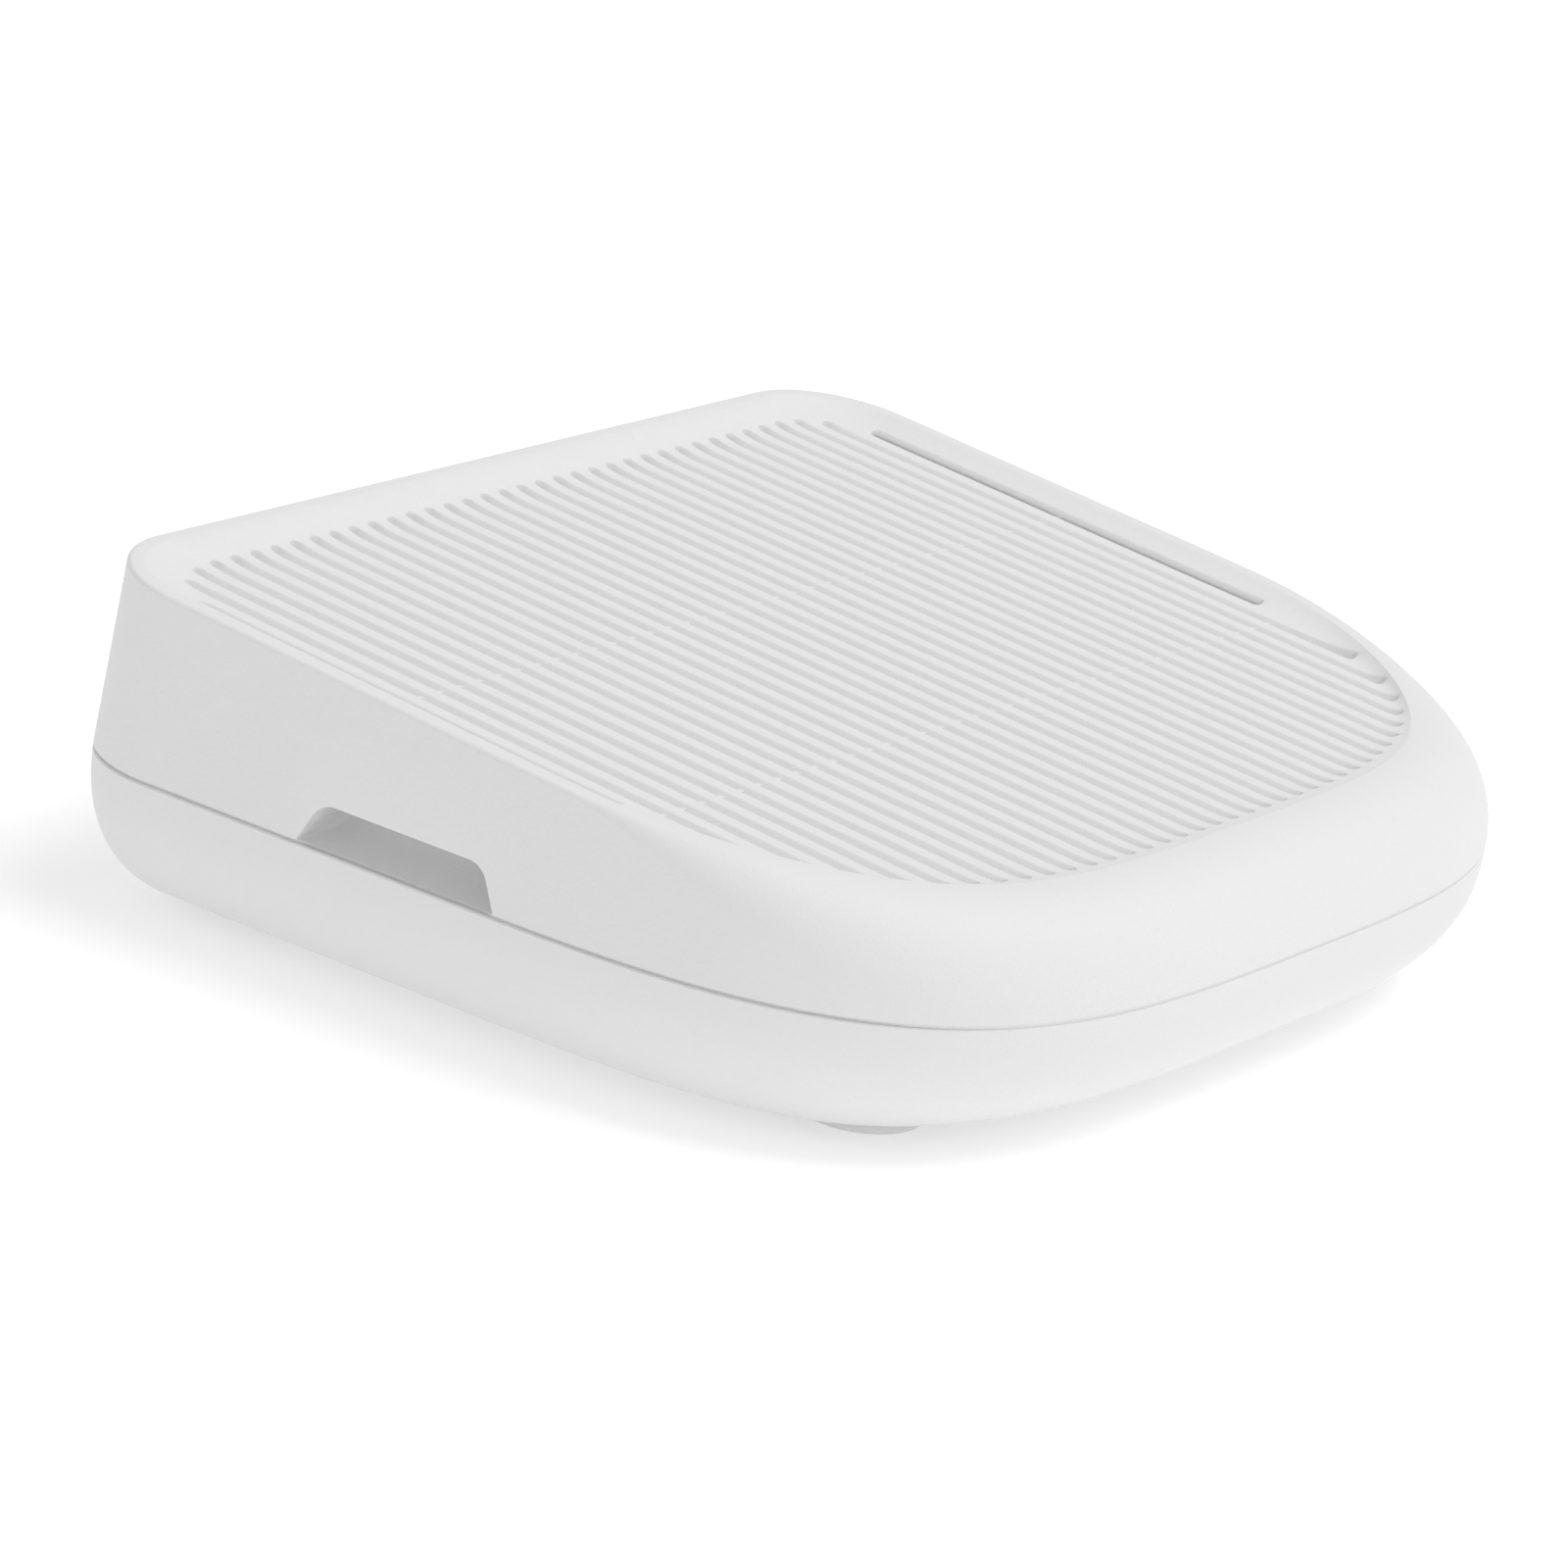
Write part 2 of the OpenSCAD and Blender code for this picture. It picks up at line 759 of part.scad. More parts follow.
// Each cable's route: out of its connector, down over the board's edge and up to its antenna
front_end_y = antenna_front_xy[1] + antenna_t / 2 + cable_r;
side_end_x = antenna_side_x - antenna_t / 2 - cable_r;
cable_routes = [
    [
        [-44, -25.5, 13], [-44, -27.5, 13.4], [-44, -30, 12.8], [-42, -36, 11.5],
        [-38, -43, 11.5], [-33, -49, 12], [-29, front_end_y, 12], [-24, front_end_y, 12]
    ],
    [
        [21.5, -25.5, 13], [21.5, -27.5, 13.4], [21.5, -30, 12.8], [23, -36, 11.5],
        [26, -43, 11.5], [29, -49, 12], [32, front_end_y, 12], [38, front_end_y, 12]
    ],
    [
        [-46, -8, 13], [-49, -8, 13.4], [-55, -7, 12.6], [-60, -3, 11.5],
        [-65, 4, 11.5], [-69, 10, 12], [-side_end_x, 15, 12], [-side_end_x, 20, 12]
    ],
    [
        [46, -8, 13], [49, -8, 13.4], [55, -7, 12.6], [60, -3, 11.5],
        [65, 4, 11.5], [69, 10, 12], [side_end_x, 15, 12], [side_end_x, 20, 12]
    ]
];

// Round tube swept along a route
module tube(route, r, sides) {
    n = len(route);
    rings = [
        for (i = [0:n - 1])
            let(
                along = route[min(i + 1, n - 1)] - route[max(i - 1, 0)],
                t = along / norm(along),
                u = let(c = cross(t, [0, 0, 1])) c / norm(c),
                v = cross(u, t)
            )
            for (k = [0:sides - 1])
                let(a = 360 * k / sides) route[i] + r * (cos(a) * u + sin(a) * v)
    ];
    skin = [
        for (i = [0:n - 2], k = [0:sides - 1])
            let(a = i * sides + k, b = i * sides + (k + 1) % sides)
            each [[a, a + sides, b + sides], [a, b + sides, b]]
    ];
    first = [for (k = [0:sides - 1]) k];
    last = [for (k = [sides - 1:-1:0]) (n - 1) * sides + k];
    polyhedron(rings, concat(skin, [first, last]));
}

module antenna_cables() {
    color("dimgray") for (route = cable_routes) tube(route, cable_r, 8);
}

top_cover();
bottom_cover();
rear_panel();
foot_front_left();
foot_front_right();
foot_rear_left();
foot_rear_right();
case_screws();
rating_label();
main_board();
board_screws();
processor();
thermal_pad();
heatsink();
heatsink_clips();
memory_chip();
flash_chip();
switch_chip();
wifi_chip_2g();
wifi_chip_5g();
wifi_shield_2g();
wifi_shield_5g();
wan_transformer();
lan_transformer();
power_inductor();
capacitors();
crystals();
wan_jack();
lan_jack_1();
lan_jack_2();
lan_jack_3();
dc_jack();
power_switch();
power_button();
pairing_switch();
pairing_button();
reset_switch();
reset_button();
status_led();
light_pipe();
antenna_front_left();
antenna_front_right();
antenna_rear_left();
antenna_rear_right();
antenna_connectors();
antenna_cables();
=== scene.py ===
"""Looks of a desktop wireless router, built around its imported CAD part.

Lengths are in millimetres until a mesh is made.
"""

import json
import math
import random

import bmesh
import bpy
import numpy as np
from mathutils import Matrix, Vector, geometry


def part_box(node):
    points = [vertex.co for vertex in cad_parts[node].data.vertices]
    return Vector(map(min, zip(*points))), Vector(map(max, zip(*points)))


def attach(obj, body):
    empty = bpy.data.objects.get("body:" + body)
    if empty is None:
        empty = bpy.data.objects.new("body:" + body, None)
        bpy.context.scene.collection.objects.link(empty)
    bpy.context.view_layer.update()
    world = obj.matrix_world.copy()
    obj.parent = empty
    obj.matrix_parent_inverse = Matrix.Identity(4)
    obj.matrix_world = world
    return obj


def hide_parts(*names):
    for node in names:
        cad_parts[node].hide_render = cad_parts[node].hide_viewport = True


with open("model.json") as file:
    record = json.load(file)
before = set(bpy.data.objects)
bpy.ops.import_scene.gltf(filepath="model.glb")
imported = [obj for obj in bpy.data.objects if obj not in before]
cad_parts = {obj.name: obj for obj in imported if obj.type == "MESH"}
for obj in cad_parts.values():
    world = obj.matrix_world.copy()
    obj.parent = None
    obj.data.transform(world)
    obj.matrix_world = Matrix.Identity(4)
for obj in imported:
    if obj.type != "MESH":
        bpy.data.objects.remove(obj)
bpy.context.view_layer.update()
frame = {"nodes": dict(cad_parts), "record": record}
scene = bpy.context.scene
MM = 0.001

# ---------- the case's measures ----------

# They are the CAD's, but for the crisp edge's radius, the lip's rise, the drop of the bridges and
# the recess's height and corner radius. Those are chosen for the looks, inside the CAD's box.

HALF_W, HALF_D = 82.0, 68.5
PARTING, SEAM, WALL, PLATE = 19.5, 0.25, 2.2, 2.2
FRONT_POWER, SHOULDER, CORNER_R = 3.5, 11.0, 16.5
BOWL_RUN, BOWL_FRONT, BOWL_POWER, FOOT_H = 14.5, 19.0, 2.3, 1.8
DRAFT, EDGE_R, EDGE_BAND, FRONT_BAND = 1.4, 0.6, 1.6, 0.35
TILT, MID_Z, LIP_RISE, FRONT_CREST = math.tan(math.radians(5.2)), 36.5, 1.94, 0.9
FRONT_ROUND, SOFT_FROM, SOFT_TO = 12.0, -8.0, -62.0
WALL_LEFT = 0.6  # height of plain wall between the parting line and the front round
RIM_SIDE, RIM_REAR, RIM_FRONT = 11.0, 12.0, 19.0  # how far in the dished rim ends
SLOT_COUNT, SLOT_PITCH, SLOT_W = 38, 4.0, 1.5
BRIDGE_YS, BRIDGE, BRIDGE_DROP = (-16.6, 20.7), 0.9, 0.5
SLOT_SIDE, SLOT_REAR, SLOT_FRONT = HALF_W - 7.4, HALF_D - 8, HALF_D - 14.5
SLOT_POWER, SLOT_R = 3.6, 12.0
# slots further out than OUTER_X: least growth at the bottom, and share of the flank's depth
OUTER_X, OUTER_GROW, OUTER_DEPTH = 72, -0.25, 0.6
BAY_X, BAY_TOP, BAY_BOTTOM = 54.8, 26.0, 10.5
GRIP_Y, GRIP_BASE, GRIP_TOP, GRIP_H, GRIP_DEPTH, GRIP_R = 12.5, 30.0, 27.0, 5.65, 8.0, 3.2
PATCH_X, PATCH_FRONT, PATCH_REAR = -60, -6.5, 31.5  # the left wall that the recess's patch replaces
FEET = [(sx * x, y) for sx in (-1, 1) for x, y in ((50.0, -39.0), (58.0, 47.0))]
KEYHOLES = [(-35.0, -33.0), (35.0, -33.0)]
STANDS = [(x, y) for x in (-49, 49) for y in (-23, 34)]
FOOT_HOLE_R, VENT_XS, VENT_YS = 3.0, np.arange(-5, 6) * 6.0, (-24, 0)

# tubes for the screws: level of the free end, radius and bore
POST_Z, POST_R, POST_BORE = 14.2, 3.4, 1.5
BOSS_Z, BOSS_R, BOSS_BORE = 14.0, 4.2, 1.7
STAND_Z, STAND_R, STAND_BORE = 9.0, 3.0, 1.1

# ribs that the antennas stand on, with the middle of the front and side ones on the right
RIB_TOP, RIB_HALF, RIB_T = 10.0, 10, 2
FRONT_RIB, SIDE_RIB = (28, -54.5), (73.5, 22)

SINK = 0.05  # how far a standing piece reaches into the floor under it
HANG = 0.1  # posts end, and bridges begin, this far above the plate's underside

HALF_COLUMNS, BEND_WEIGHT = 150, 26  # one radian of bend counts as that many millimetres of length


def mix(a, b, t):
    return a + (b - a) * t


def smooth(t):
    u = np.clip(t, 0, 1)
    return u * u * (3 - 2 * u)


def field_z(y):
    """Height of the slotted field at y."""
    return MID_Z + y * TILT


def raised(ring, z):
    """A ring of plan points at one height, or at one for each point."""
    return np.column_stack([ring, np.broadcast_to(z, (len(ring),))])


# ---------- the case's outline ----------


def outline():
    """Columns [x, y, normal x, normal y], anticlockwise from the middle of the front."""
    b = HALF_D + SHOULDER
    tau = np.linspace(0, math.pi / 2, 4001)
    x = HALF_W * np.sin(tau) ** (2 / FRONT_POWER)
    y = SHOULDER - b * np.cos(tau) ** (2 / FRONT_POWER)
    n = FRONT_POWER - 1
    nx, ny = (x / HALF_W) ** n / HALF_W, -(((SHOULDER - y) / b) ** n) / b
    size = np.hypot(nx, ny)
    front = np.stack([x, y, nx / size, ny / size], 1)
    side = np.array([[HALF_W, v, 1, 0] for v in np.linspace(SHOULDER, HALF_D - CORNER_R, 200)[1:]])
    phi = np.linspace(0, math.pi / 2, 600)[1:]
    corner = np.stack(
        [
            HALF_W - CORNER_R + CORNER_R * np.cos(phi),
            HALF_D - CORNER_R + CORNER_R * np.sin(phi),
            np.cos(phi),
            np.sin(phi),
        ],
        1,
    )
    bent = np.vstack([front, side, corner])
    step = np.hypot(*np.diff(bent[:, :2], axis=0).T)
    turn = np.abs(np.diff(np.unwrap(np.arctan2(bent[:, 3], bent[:, 2]))))
    along = np.concatenate([[0], np.cumsum(step + BEND_WEIGHT * turn)])
    at = np.linspace(0, along[-1], HALF_COLUMNS)
    picked = np.stack([np.interp(at, along, bent[:, k]) for k in range(4)], 1)
    picked[:, 2:] /= np.hypot(picked[:, 2], picked[:, 3])[:, None]
    rear = [[v, HALF_D, 0, 1] for v in (BAY_X, 44, 33, 22, 11, 0)]
    half = np.vstack([picked, rear])
    other = half[1:-1][::-1] * [-1, 1, -1, 1]
    return np.vstack([half, other])


COLS = outline()
N = len(COLS)
ON_REAR = COLS[:, 1] >= HALF_D - 1e-6
BAY = [i for i in range(N) if ON_REAR[i] and -BAY_X + 1e-6 < COLS[i, 0] <= BAY_X + 1e-6]
BAY_ENDS = (BAY[0], (BAY[-1] + 1) % N)


def inset(d):
    """The outline's columns moved in by d, one value or one for each column."""
    d = np.broadcast_to(d, (N,))
    return COLS[:, :2] - COLS[:, 2:] * d[:, None]


def softness(y):
    return smooth((SOFT_FROM - y) / (SOFT_FROM - SOFT_TO))


def edge_inset(ny):
    """Where the dished rim meets the flat slotted field."""
    return mix(RIM_SIDE, np.where(ny > 0, RIM_REAR, RIM_FRONT), ny * ny)


SOFT = softness(COLS[:, 1])
LEAN = DRAFT * (1 - SOFT)
RUN = mix(EDGE_R, FRONT_ROUND, SOFT)
LIP = mix(LIP_RISE, FRONT_CREST, SOFT)
CREST_IN = LEAN + RUN
CREST_Z = field_z(inset(CREST_IN)[:, 1]) + LIP
RISE = mix(EDGE_R, CREST_Z - PARTING - WALL_LEFT, SOFT)
FLAT_IN = CREST_IN + mix(EDGE_BAND, FRONT_BAND, SOFT)


def locate(points):
    """For plan points: the distance in from the outline, and the outline's y and normal y there."""
    a = COLS[:, :2]
    b = np.roll(a, -1, axis=0)
    ab = b - a
    out = np.zeros((len(points), 3))
    batch = 4000
    for start in range(0, len(points), batch):
        p = points[start : start + batch]
        t = np.clip(((p[:, None] - a) * ab).sum(2) / (ab * ab).sum(1), 0, 1)
        gap = np.linalg.norm(p[:, None] - (a + ab * t[..., None]), axis=2)
        k = gap.argmin(1)
        rows = np.arange(len(p))
        w = t[rows, k][:, None]
        near = COLS[k] * (1 - w) + COLS[(k + 1) % N] * w
        out[start : start + batch] = np.stack([gap[rows, k], near[:, 1], near[:, 3]], 1)
    return out


def top_z(points):
    """Height of the dished top at plan points inside the crest."""
    d, y, ny = locate(points).T
    soft = softness(y)
    flat_in = DRAFT * (1 - soft) + mix(EDGE_R, FRONT_ROUND, soft) + mix(EDGE_BAND, FRONT_BAND, soft)
    u = np.clip((d - flat_in) / (edge_inset(ny) - flat_in), 0, 1)
    return field_z(points[:, 1]) + mix(LIP_RISE, FRONT_CREST, soft) * (1 - u) ** mix(2, 3, soft)


# ---------- mesh building ----------


class Build:
    """Vertices in millimetres and faces, turned into one object at the end."""

    def __init__(self):
        self.points, self.faces, self.count = [], [], 0

    def add(self, points):
        """Adds points and gives back their indices."""
        points = np.asarray(points, float).reshape(-1, 3)
        self.points.append(points)
        self.count += len(points)
        return np.arange(self.count - len(points), self.count)

    def strip(self, a, b, closed=True, skip=()):
        """Quads between two rows of indices. skip holds the places to leave open."""
        n = len(a)
        for i in range(n if closed else n - 1):
            j = (i + 1) % n
            if i not in skip:
                self.faces.append((a[i], a[j], b[j], b[i]))

    def fill(self, flat, index, edges, holes=(), inside=None, flip=False):
        """Triangles over plan points with those edges. holes has each point's own hole, or -1."""
        made = geometry.delaunay_2d_cdt([Vector(p) for p in flat], edges, [], 1, 1e-7)
        origin = [o[0] if o else -1 for o in made[3]]
        for tri in made[2]:
            k = [origin[v] for v in tri]
            if -1 in k or len(set(k)) < 3:
                continue
            if len(holes) and holes[k[0]] >= 0 and holes[k[0]] == holes[k[1]] == holes[k[2]]:
                continue
            if inside is not None and not inside(np.mean([flat[v] for v in k], axis=0)):
                continue
            face = tuple(int(index[v]) for v in k)
            self.faces.append(face[::-1] if flip else face)

    def pipe(self, x, y, z0, z1, r_out, r_in, n=40):
        """A standing tube, closed all over."""
        section = ((r_out, z0), (r_out, z1), (r_in, z1), (r_in, z0))
        rows = [self.add(raised(circle(x, y, r, n), z)) for r, z in section]
        for k in range(4):
            self.strip(rows[k], rows[(k + 1) % 4])

    def box(self, low, high):
        """A plain block between two corners."""
        (x0, y0, z0), (x1, y1, z1) = low, high
        v = self.add([(x, y, z) for z in (z0, z1) for x, y in ((x0, y0), (x1, y0), (x1, y1), (x0, y1))])
        self.faces += [(v[3], v[2], v[1], v[0]), (v[4], v[5], v[6], v[7])]
        self.strip(v[:4], v[4:])

    def done(self, name, sharp=35, smooth_faces=True):
        """The object: doubles joined, loose points gone and normals facing out."""
        mesh = bpy.data.meshes.new(name)
        mesh.from_pydata((np.vstack(self.points) * MM).tolist(), [], [tuple(map(int, f)) for f in self.faces])
        tidy = bmesh.new()
        tidy.from_mesh(mesh)
        bmesh.ops.remove_doubles(tidy, verts=tidy.verts, dist=1e-7)
        bmesh.ops.dissolve_degenerate(tidy, edges=tidy.edges, dist=1e-8)
        bmesh.ops.delete(tidy, geom=[v for v in tidy.verts if not v.link_faces], context="VERTS")
        bmesh.ops.recalc_face_normals(tidy, faces=tidy.faces)
        tidy.to_mesh(mesh)
        tidy.free()
        if smooth_faces:
            mesh.shade_smooth()
            mesh.set_sharp_from_angle(angle=math.radians(sharp))
        else:
            mesh.shade_flat()
        obj = bpy.data.objects.new(name, mesh)
        scene.collection.objects.link(obj)
        return obj


def loop_edges(start, n):
    """The edges of a closed ring of n points, numbered from start."""
    return [(start + i, start + (i + 1) % n) for i in range(n)]


def rounded_slot(x, y0, y1, grow, half=SLOT_W / 2, r=0.62):
    """Outline of a slot along Y with rounded corners, grown by a distance, anticlockwise."""
    reach = min(12.0, (y1 - y0) / 2.5)
    near = np.array([0, 0.4, 1, 1.8, 2.8, 4, 5.5, 7.5, 10, 12]) / 12 * reach
    low, high, big = y0 + r, y1 - r, r + grow
    middle = np.linspace(low + reach, high - reach, max(3, int((y1 - y0) / 5)))[1:-1]
    ys = np.concatenate([low + near, middle, (high - near)[::-1]])
    arc = np.radians([18, 36, 54, 72, 90])
    arc_from_zero = arc - math.radians(18)
    right_x, left_x = x + half - r, x - half + r
    right = [(x + half + grow, y) for y in ys]
    top_right = [(right_x + big * math.cos(a), high + big * math.sin(a)) for a in arc]
    top_left = [(left_x - big * math.sin(a), high + big * math.cos(a)) for a in arc_from_zero]
    left = [(x - half - grow, y) for y in ys[::-1]]
    low_left = [(left_x - big * math.cos(a), low - big * math.sin(a)) for a in arc]
    low_right = [(right_x + big * math.sin(a), low - big * math.cos(a)) for a in arc_from_zero]
    return np.array(right + top_right + top_left + left + low_left + low_right)


def slots():
    """Centre x and two ends of every slot."""
    found = []
    for i in range(SLOT_COUNT):
        x = (i - (SLOT_COUNT - 1) / 2) * SLOT_PITCH
        bend = (1 - (abs(x) / SLOT_SIDE) ** SLOT_POWER) ** (1 / SLOT_POWER)
        front = SHOULDER - (SLOT_FRONT + SHOULDER) * bend
        d = max(0.0, abs(x) - (SLOT_SIDE - SLOT_R))
        rear = SLOT_REAR - SLOT_R + math.sqrt(SLOT_R**2 - d * d)
        found.append((x, front, rear))
    return found


# ---------- top cover ----------

WALL_ROWS = 5
BAY_ROWS = 2  # the wall rows under the top of the rear bay
INNER_ROWS = 3  # the inner wall rows that the recess's block takes up
# section of a slot's flank: growth of the outline, and drop below the top
FLANK = [
    (0.42, 0),
    (0.33, 0.02),
    (0.22, 0.08),
    (0.08, 0.22),
    (-0.06, 0.38),
    (-0.2, 0.54),
    (-0.34, 0.68),
    (-0.44, 0.76),
    (-0.49, 0.84),
    (-0.5, 0.92),
]
MOUTH = FLANK[0][0]
MOUTH_CLEAR = MOUTH + 0.15  # no loose point of the top stands nearer to a slot
DISH_DEPTH = 0.7  # a flank this far down follows the flat field and not the dish
END_STEEP = 0.75  # share of the growth that a slot's ends leave out


def wall_rows(gap, lean, wall_top):
    """Rows of a side wall, bottom first. Row 2 is level with the top of the rear bay there."""
    z0 = PARTING + SEAM
    rear = wall_top[COLS[:, 1] >= HALF_D - 1e-6].mean()
    bay = (BAY_TOP - z0) / (rear - z0)
    rows = []
    for share in (0, bay / 2, bay, mix(bay, 1, 0.4), mix(bay, 1, 0.75)):
        z = z0 + (wall_top - z0) * share
        rows.append(raised(inset(gap + lean * share), z))
    return rows


def grip_outline(grow):
    """Open outline of the grip recess as [y, z], from its front foot over to its rear foot."""
    r = GRIP_R + grow
    foot = np.array([-GRIP_BASE / 2, SEAM])
    centre = np.array([-(GRIP_TOP / 2 - GRIP_R), GRIP_H - GRIP_R])
    span = centre - foot
    lean = math.atan2(span[1], span[0]) + math.asin(GRIP_R / np.hypot(*span))
    touch = lean + math.pi / 2
    foot = foot + np.array([-grow / math.sin(lean), 0])
    arc = [centre + r * np.array([math.cos(a), math.sin(a)]) for a in np.linspace(touch, math.pi / 2, 9)]
    side = [mix(foot, arc[0], t) for t in (0, 0.25, 0.5, 0.75)]
    half = np.array(side + arc + [(v, arc[-1][1]) for v in (-7, -3.5)])
    return np.vstack([half, half[::-1] * [-1, 1]]) + [GRIP_Y, PARTING]


def make_top():
    """The top cover: two skins, the rear bay, the grip recess, the slotted dish and the posts."""
    b = Build()
    outer = wall_rows(0, LEAN, CREST_Z - RISE)
    for t in np.radians(np.linspace(0, 90, 17)):
        outer.append(raised(inset(LEAN + RUN * (1 - math.cos(t))), CREST_Z - RISE * (1 - math.sin(t))))
    for share in (0.35, 0.75, 1):
        ring = inset(mix(CREST_IN, FLAT_IN, share))
        outer.append(raised(ring, field_z(ring[:, 1]) + LIP))
    low_in = np.minimum(WALL + LEAN + RUN, FLAT_IN - 0.1)
    low_run = low_in - WALL - LEAN
    low_z = field_z(inset(low_in)[:, 1]) - PLATE
    low_rise = mix(EDGE_R, low_z - PARTING - WALL_LEFT, SOFT)
    inner = wall_rows(WALL, LEAN, low_z - low_rise)
    for t in np.radians(np.linspace(0, 90, 7)):
        ring = inset(WALL + LEAN + low_run * (1 - math.cos(t)))
        inner.append(raised(ring, low_z - low_rise * (1 - math.sin(t))))
    rows_out = [b.add(r) for r in outer]
    rows_in = [b.add(r) for r in inner]

    left = [i for i in range(N) if COLS[i, 0] < PATCH_X and PATCH_FRONT < COLS[i, 1] < PATCH_REAR]
    window = set(left[:-1])
    bay = set(BAY)

    def skipped(k, window_rows):
        """The places that row k leaves open, for the rear bay and for the recess."""
        return (bay if k < BAY_ROWS else set()) | (window if k < window_rows else set())

    for k in range(len(rows_out) - 1):
        b.strip(rows_out[k], rows_out[k + 1], skip=skipped(k, WALL_ROWS - 1))
    for k in range(len(rows_in) - 1):
        b.strip(rows_in[k + 1], rows_in[k], skip=skipped(k, INNER_ROWS))
    b.strip(rows_in[0], rows_out[0], skip=bay | window)

    # frame of the rear bay
    row = [*BAY, BAY_ENDS[1]]
    b.strip(rows_out[BAY_ROWS][row], rows_in[BAY_ROWS][row], closed=False)
    for i, turn in zip(BAY_ENDS, (1, -1)):
        for k in range(BAY_ROWS):
            b.faces.append((rows_out[k][i], rows_out[k + 1][i], rows_in[k + 1][i], rows_in[k][i])[::turn])

    grip_patch(b, left, outer, rows_out, rows_in)

    # dished top with its slots
    flat = [outer[-1][:, :2]]
    index = [rows_out[-1]]
    holes = [np.full(N, -1)]
    edges = loop_edges(0, N)
    base = N
    low_flat, low_index = [inner[-1][:, :2]], [rows_in[-1]]
    low_holes, low_edges = [np.full(N, -1)], loop_edges(0, N)
    places = slots()
    outlines = []
    for x, y0, y1 in places:
        grows = [max(grow, OUTER_GROW) if abs(x) > OUTER_X else grow for grow, _ in FLANK]
        group = [rounded_slot(x, y0, y1, g) for g in grows]
        for ring, g in zip(group, grows):
            middle = (y0 + y1) / 2
            ring[:, 1] = middle + (ring[:, 1] - middle) * (1 - 2 * END_STEEP * g / (y1 - y0))
        outlines.append(group)
    every = top_z(np.vstack([o for group in outlines for o in group]))
    at = 0
    for number, group in enumerate(outlines):
        n = len(group[0])
        last = None
        shallow = OUTER_DEPTH if abs(places[number][0]) > OUTER_X else 1.0
        for ring, (_, drop) in zip(group, FLANK):
            drop *= shallow
            z = mix(every[at : at + n], field_z(ring[:, 1]), smooth(drop / DISH_DEPTH)) - drop
            at += n
            now = b.add(raised(ring, z))
            if last is None:
                flat.append(ring)
                index.append(now)
                holes.append(np.full(n, number))
                edges += loop_edges(base, n)
            else:
                b.strip(last, now)
            last = now
        for share in (0.5, 1):
            z_low = field_z(group[-1][:, 1]) - mix(FLANK[-1][1] * shallow, PLATE, share)
            now = b.add(raised(group[-1], z_low))
            b.strip(last, now)
            last = now
        low_flat.append(group[-1])
        low_index.append(last)
        low_holes.append(np.full(n, number))
        low_edges += loop_edges(base, n)
        base += n
    extra = []
    for share in (0.06, 0.14, 0.24, 0.36, 0.5, 0.66, 0.84, 1.0):
        extra.append(inset(mix(FLAT_IN, edge_inset(COLS[:, 3]), share)))
    extra = np.vstack(extra)
    keep = np.ones(len(extra), bool)
    for x, y0, y1 in places:
        keep &= ~(
            (np.abs(extra[:, 0] - x) < SLOT_W / 2 + MOUTH_CLEAR)
            & (extra[:, 1] > y0 - MOUTH_CLEAR)
            & (extra[:, 1] < y1 + MOUTH_CLEAR)
        )
    extra = extra[keep]
    flat.append(extra)
    index.append(b.add(raised(extra, top_z(extra))))
    holes.append(np.full(len(extra), -1))
    b.fill(np.vstack(flat), np.concatenate(index), edges, np.concatenate(holes))
    b.fill(np.vstack(low_flat), np.concatenate(low_index), low_edges, np.concatenate(low_holes), flip=True)
    for y in BRIDGE_YS:
        ahead = abs(min(0, y - SHOULDER) / (SLOT_FRONT + SHOULDER))
        far = SLOT_SIDE * (1 - ahead**SLOT_POWER) ** (1 / SLOT_POWER)
        low = (-far, y - BRIDGE / 2, field_z(y) - PLATE + HANG)
        b.box(low, (far, y + BRIDGE / 2, field_z(y) - BRIDGE_DROP))
    for x, y in FEET:
        b.pipe(x, y, POST_Z, field_z(y) - PLATE + HANG, POST_R, POST_BORE)
    return b.done("top_shell", sharp=SHARP_OVER)


GRIP_EDGE_R = 0.35
SCOOP_R = 1.8  # how soon the hollow deepens in from its outline
GRID_CLEAR = 0.012  # no point of the hollow stands nearer to its outline
BLOCK_OVER = 2  # how far the block behind the recess stands above it
# levels of the hollow's points above its sill, closest together at the sill and under its top
GRIP_LEVELS = [0.05, 0.15, 0.35, 0.6, 0.9, 1.3, 1.8, 2.4, 3.1, 3.8, 4.4, 4.8, 5.1, 5.3, 5.42, 5.49, 5.53]


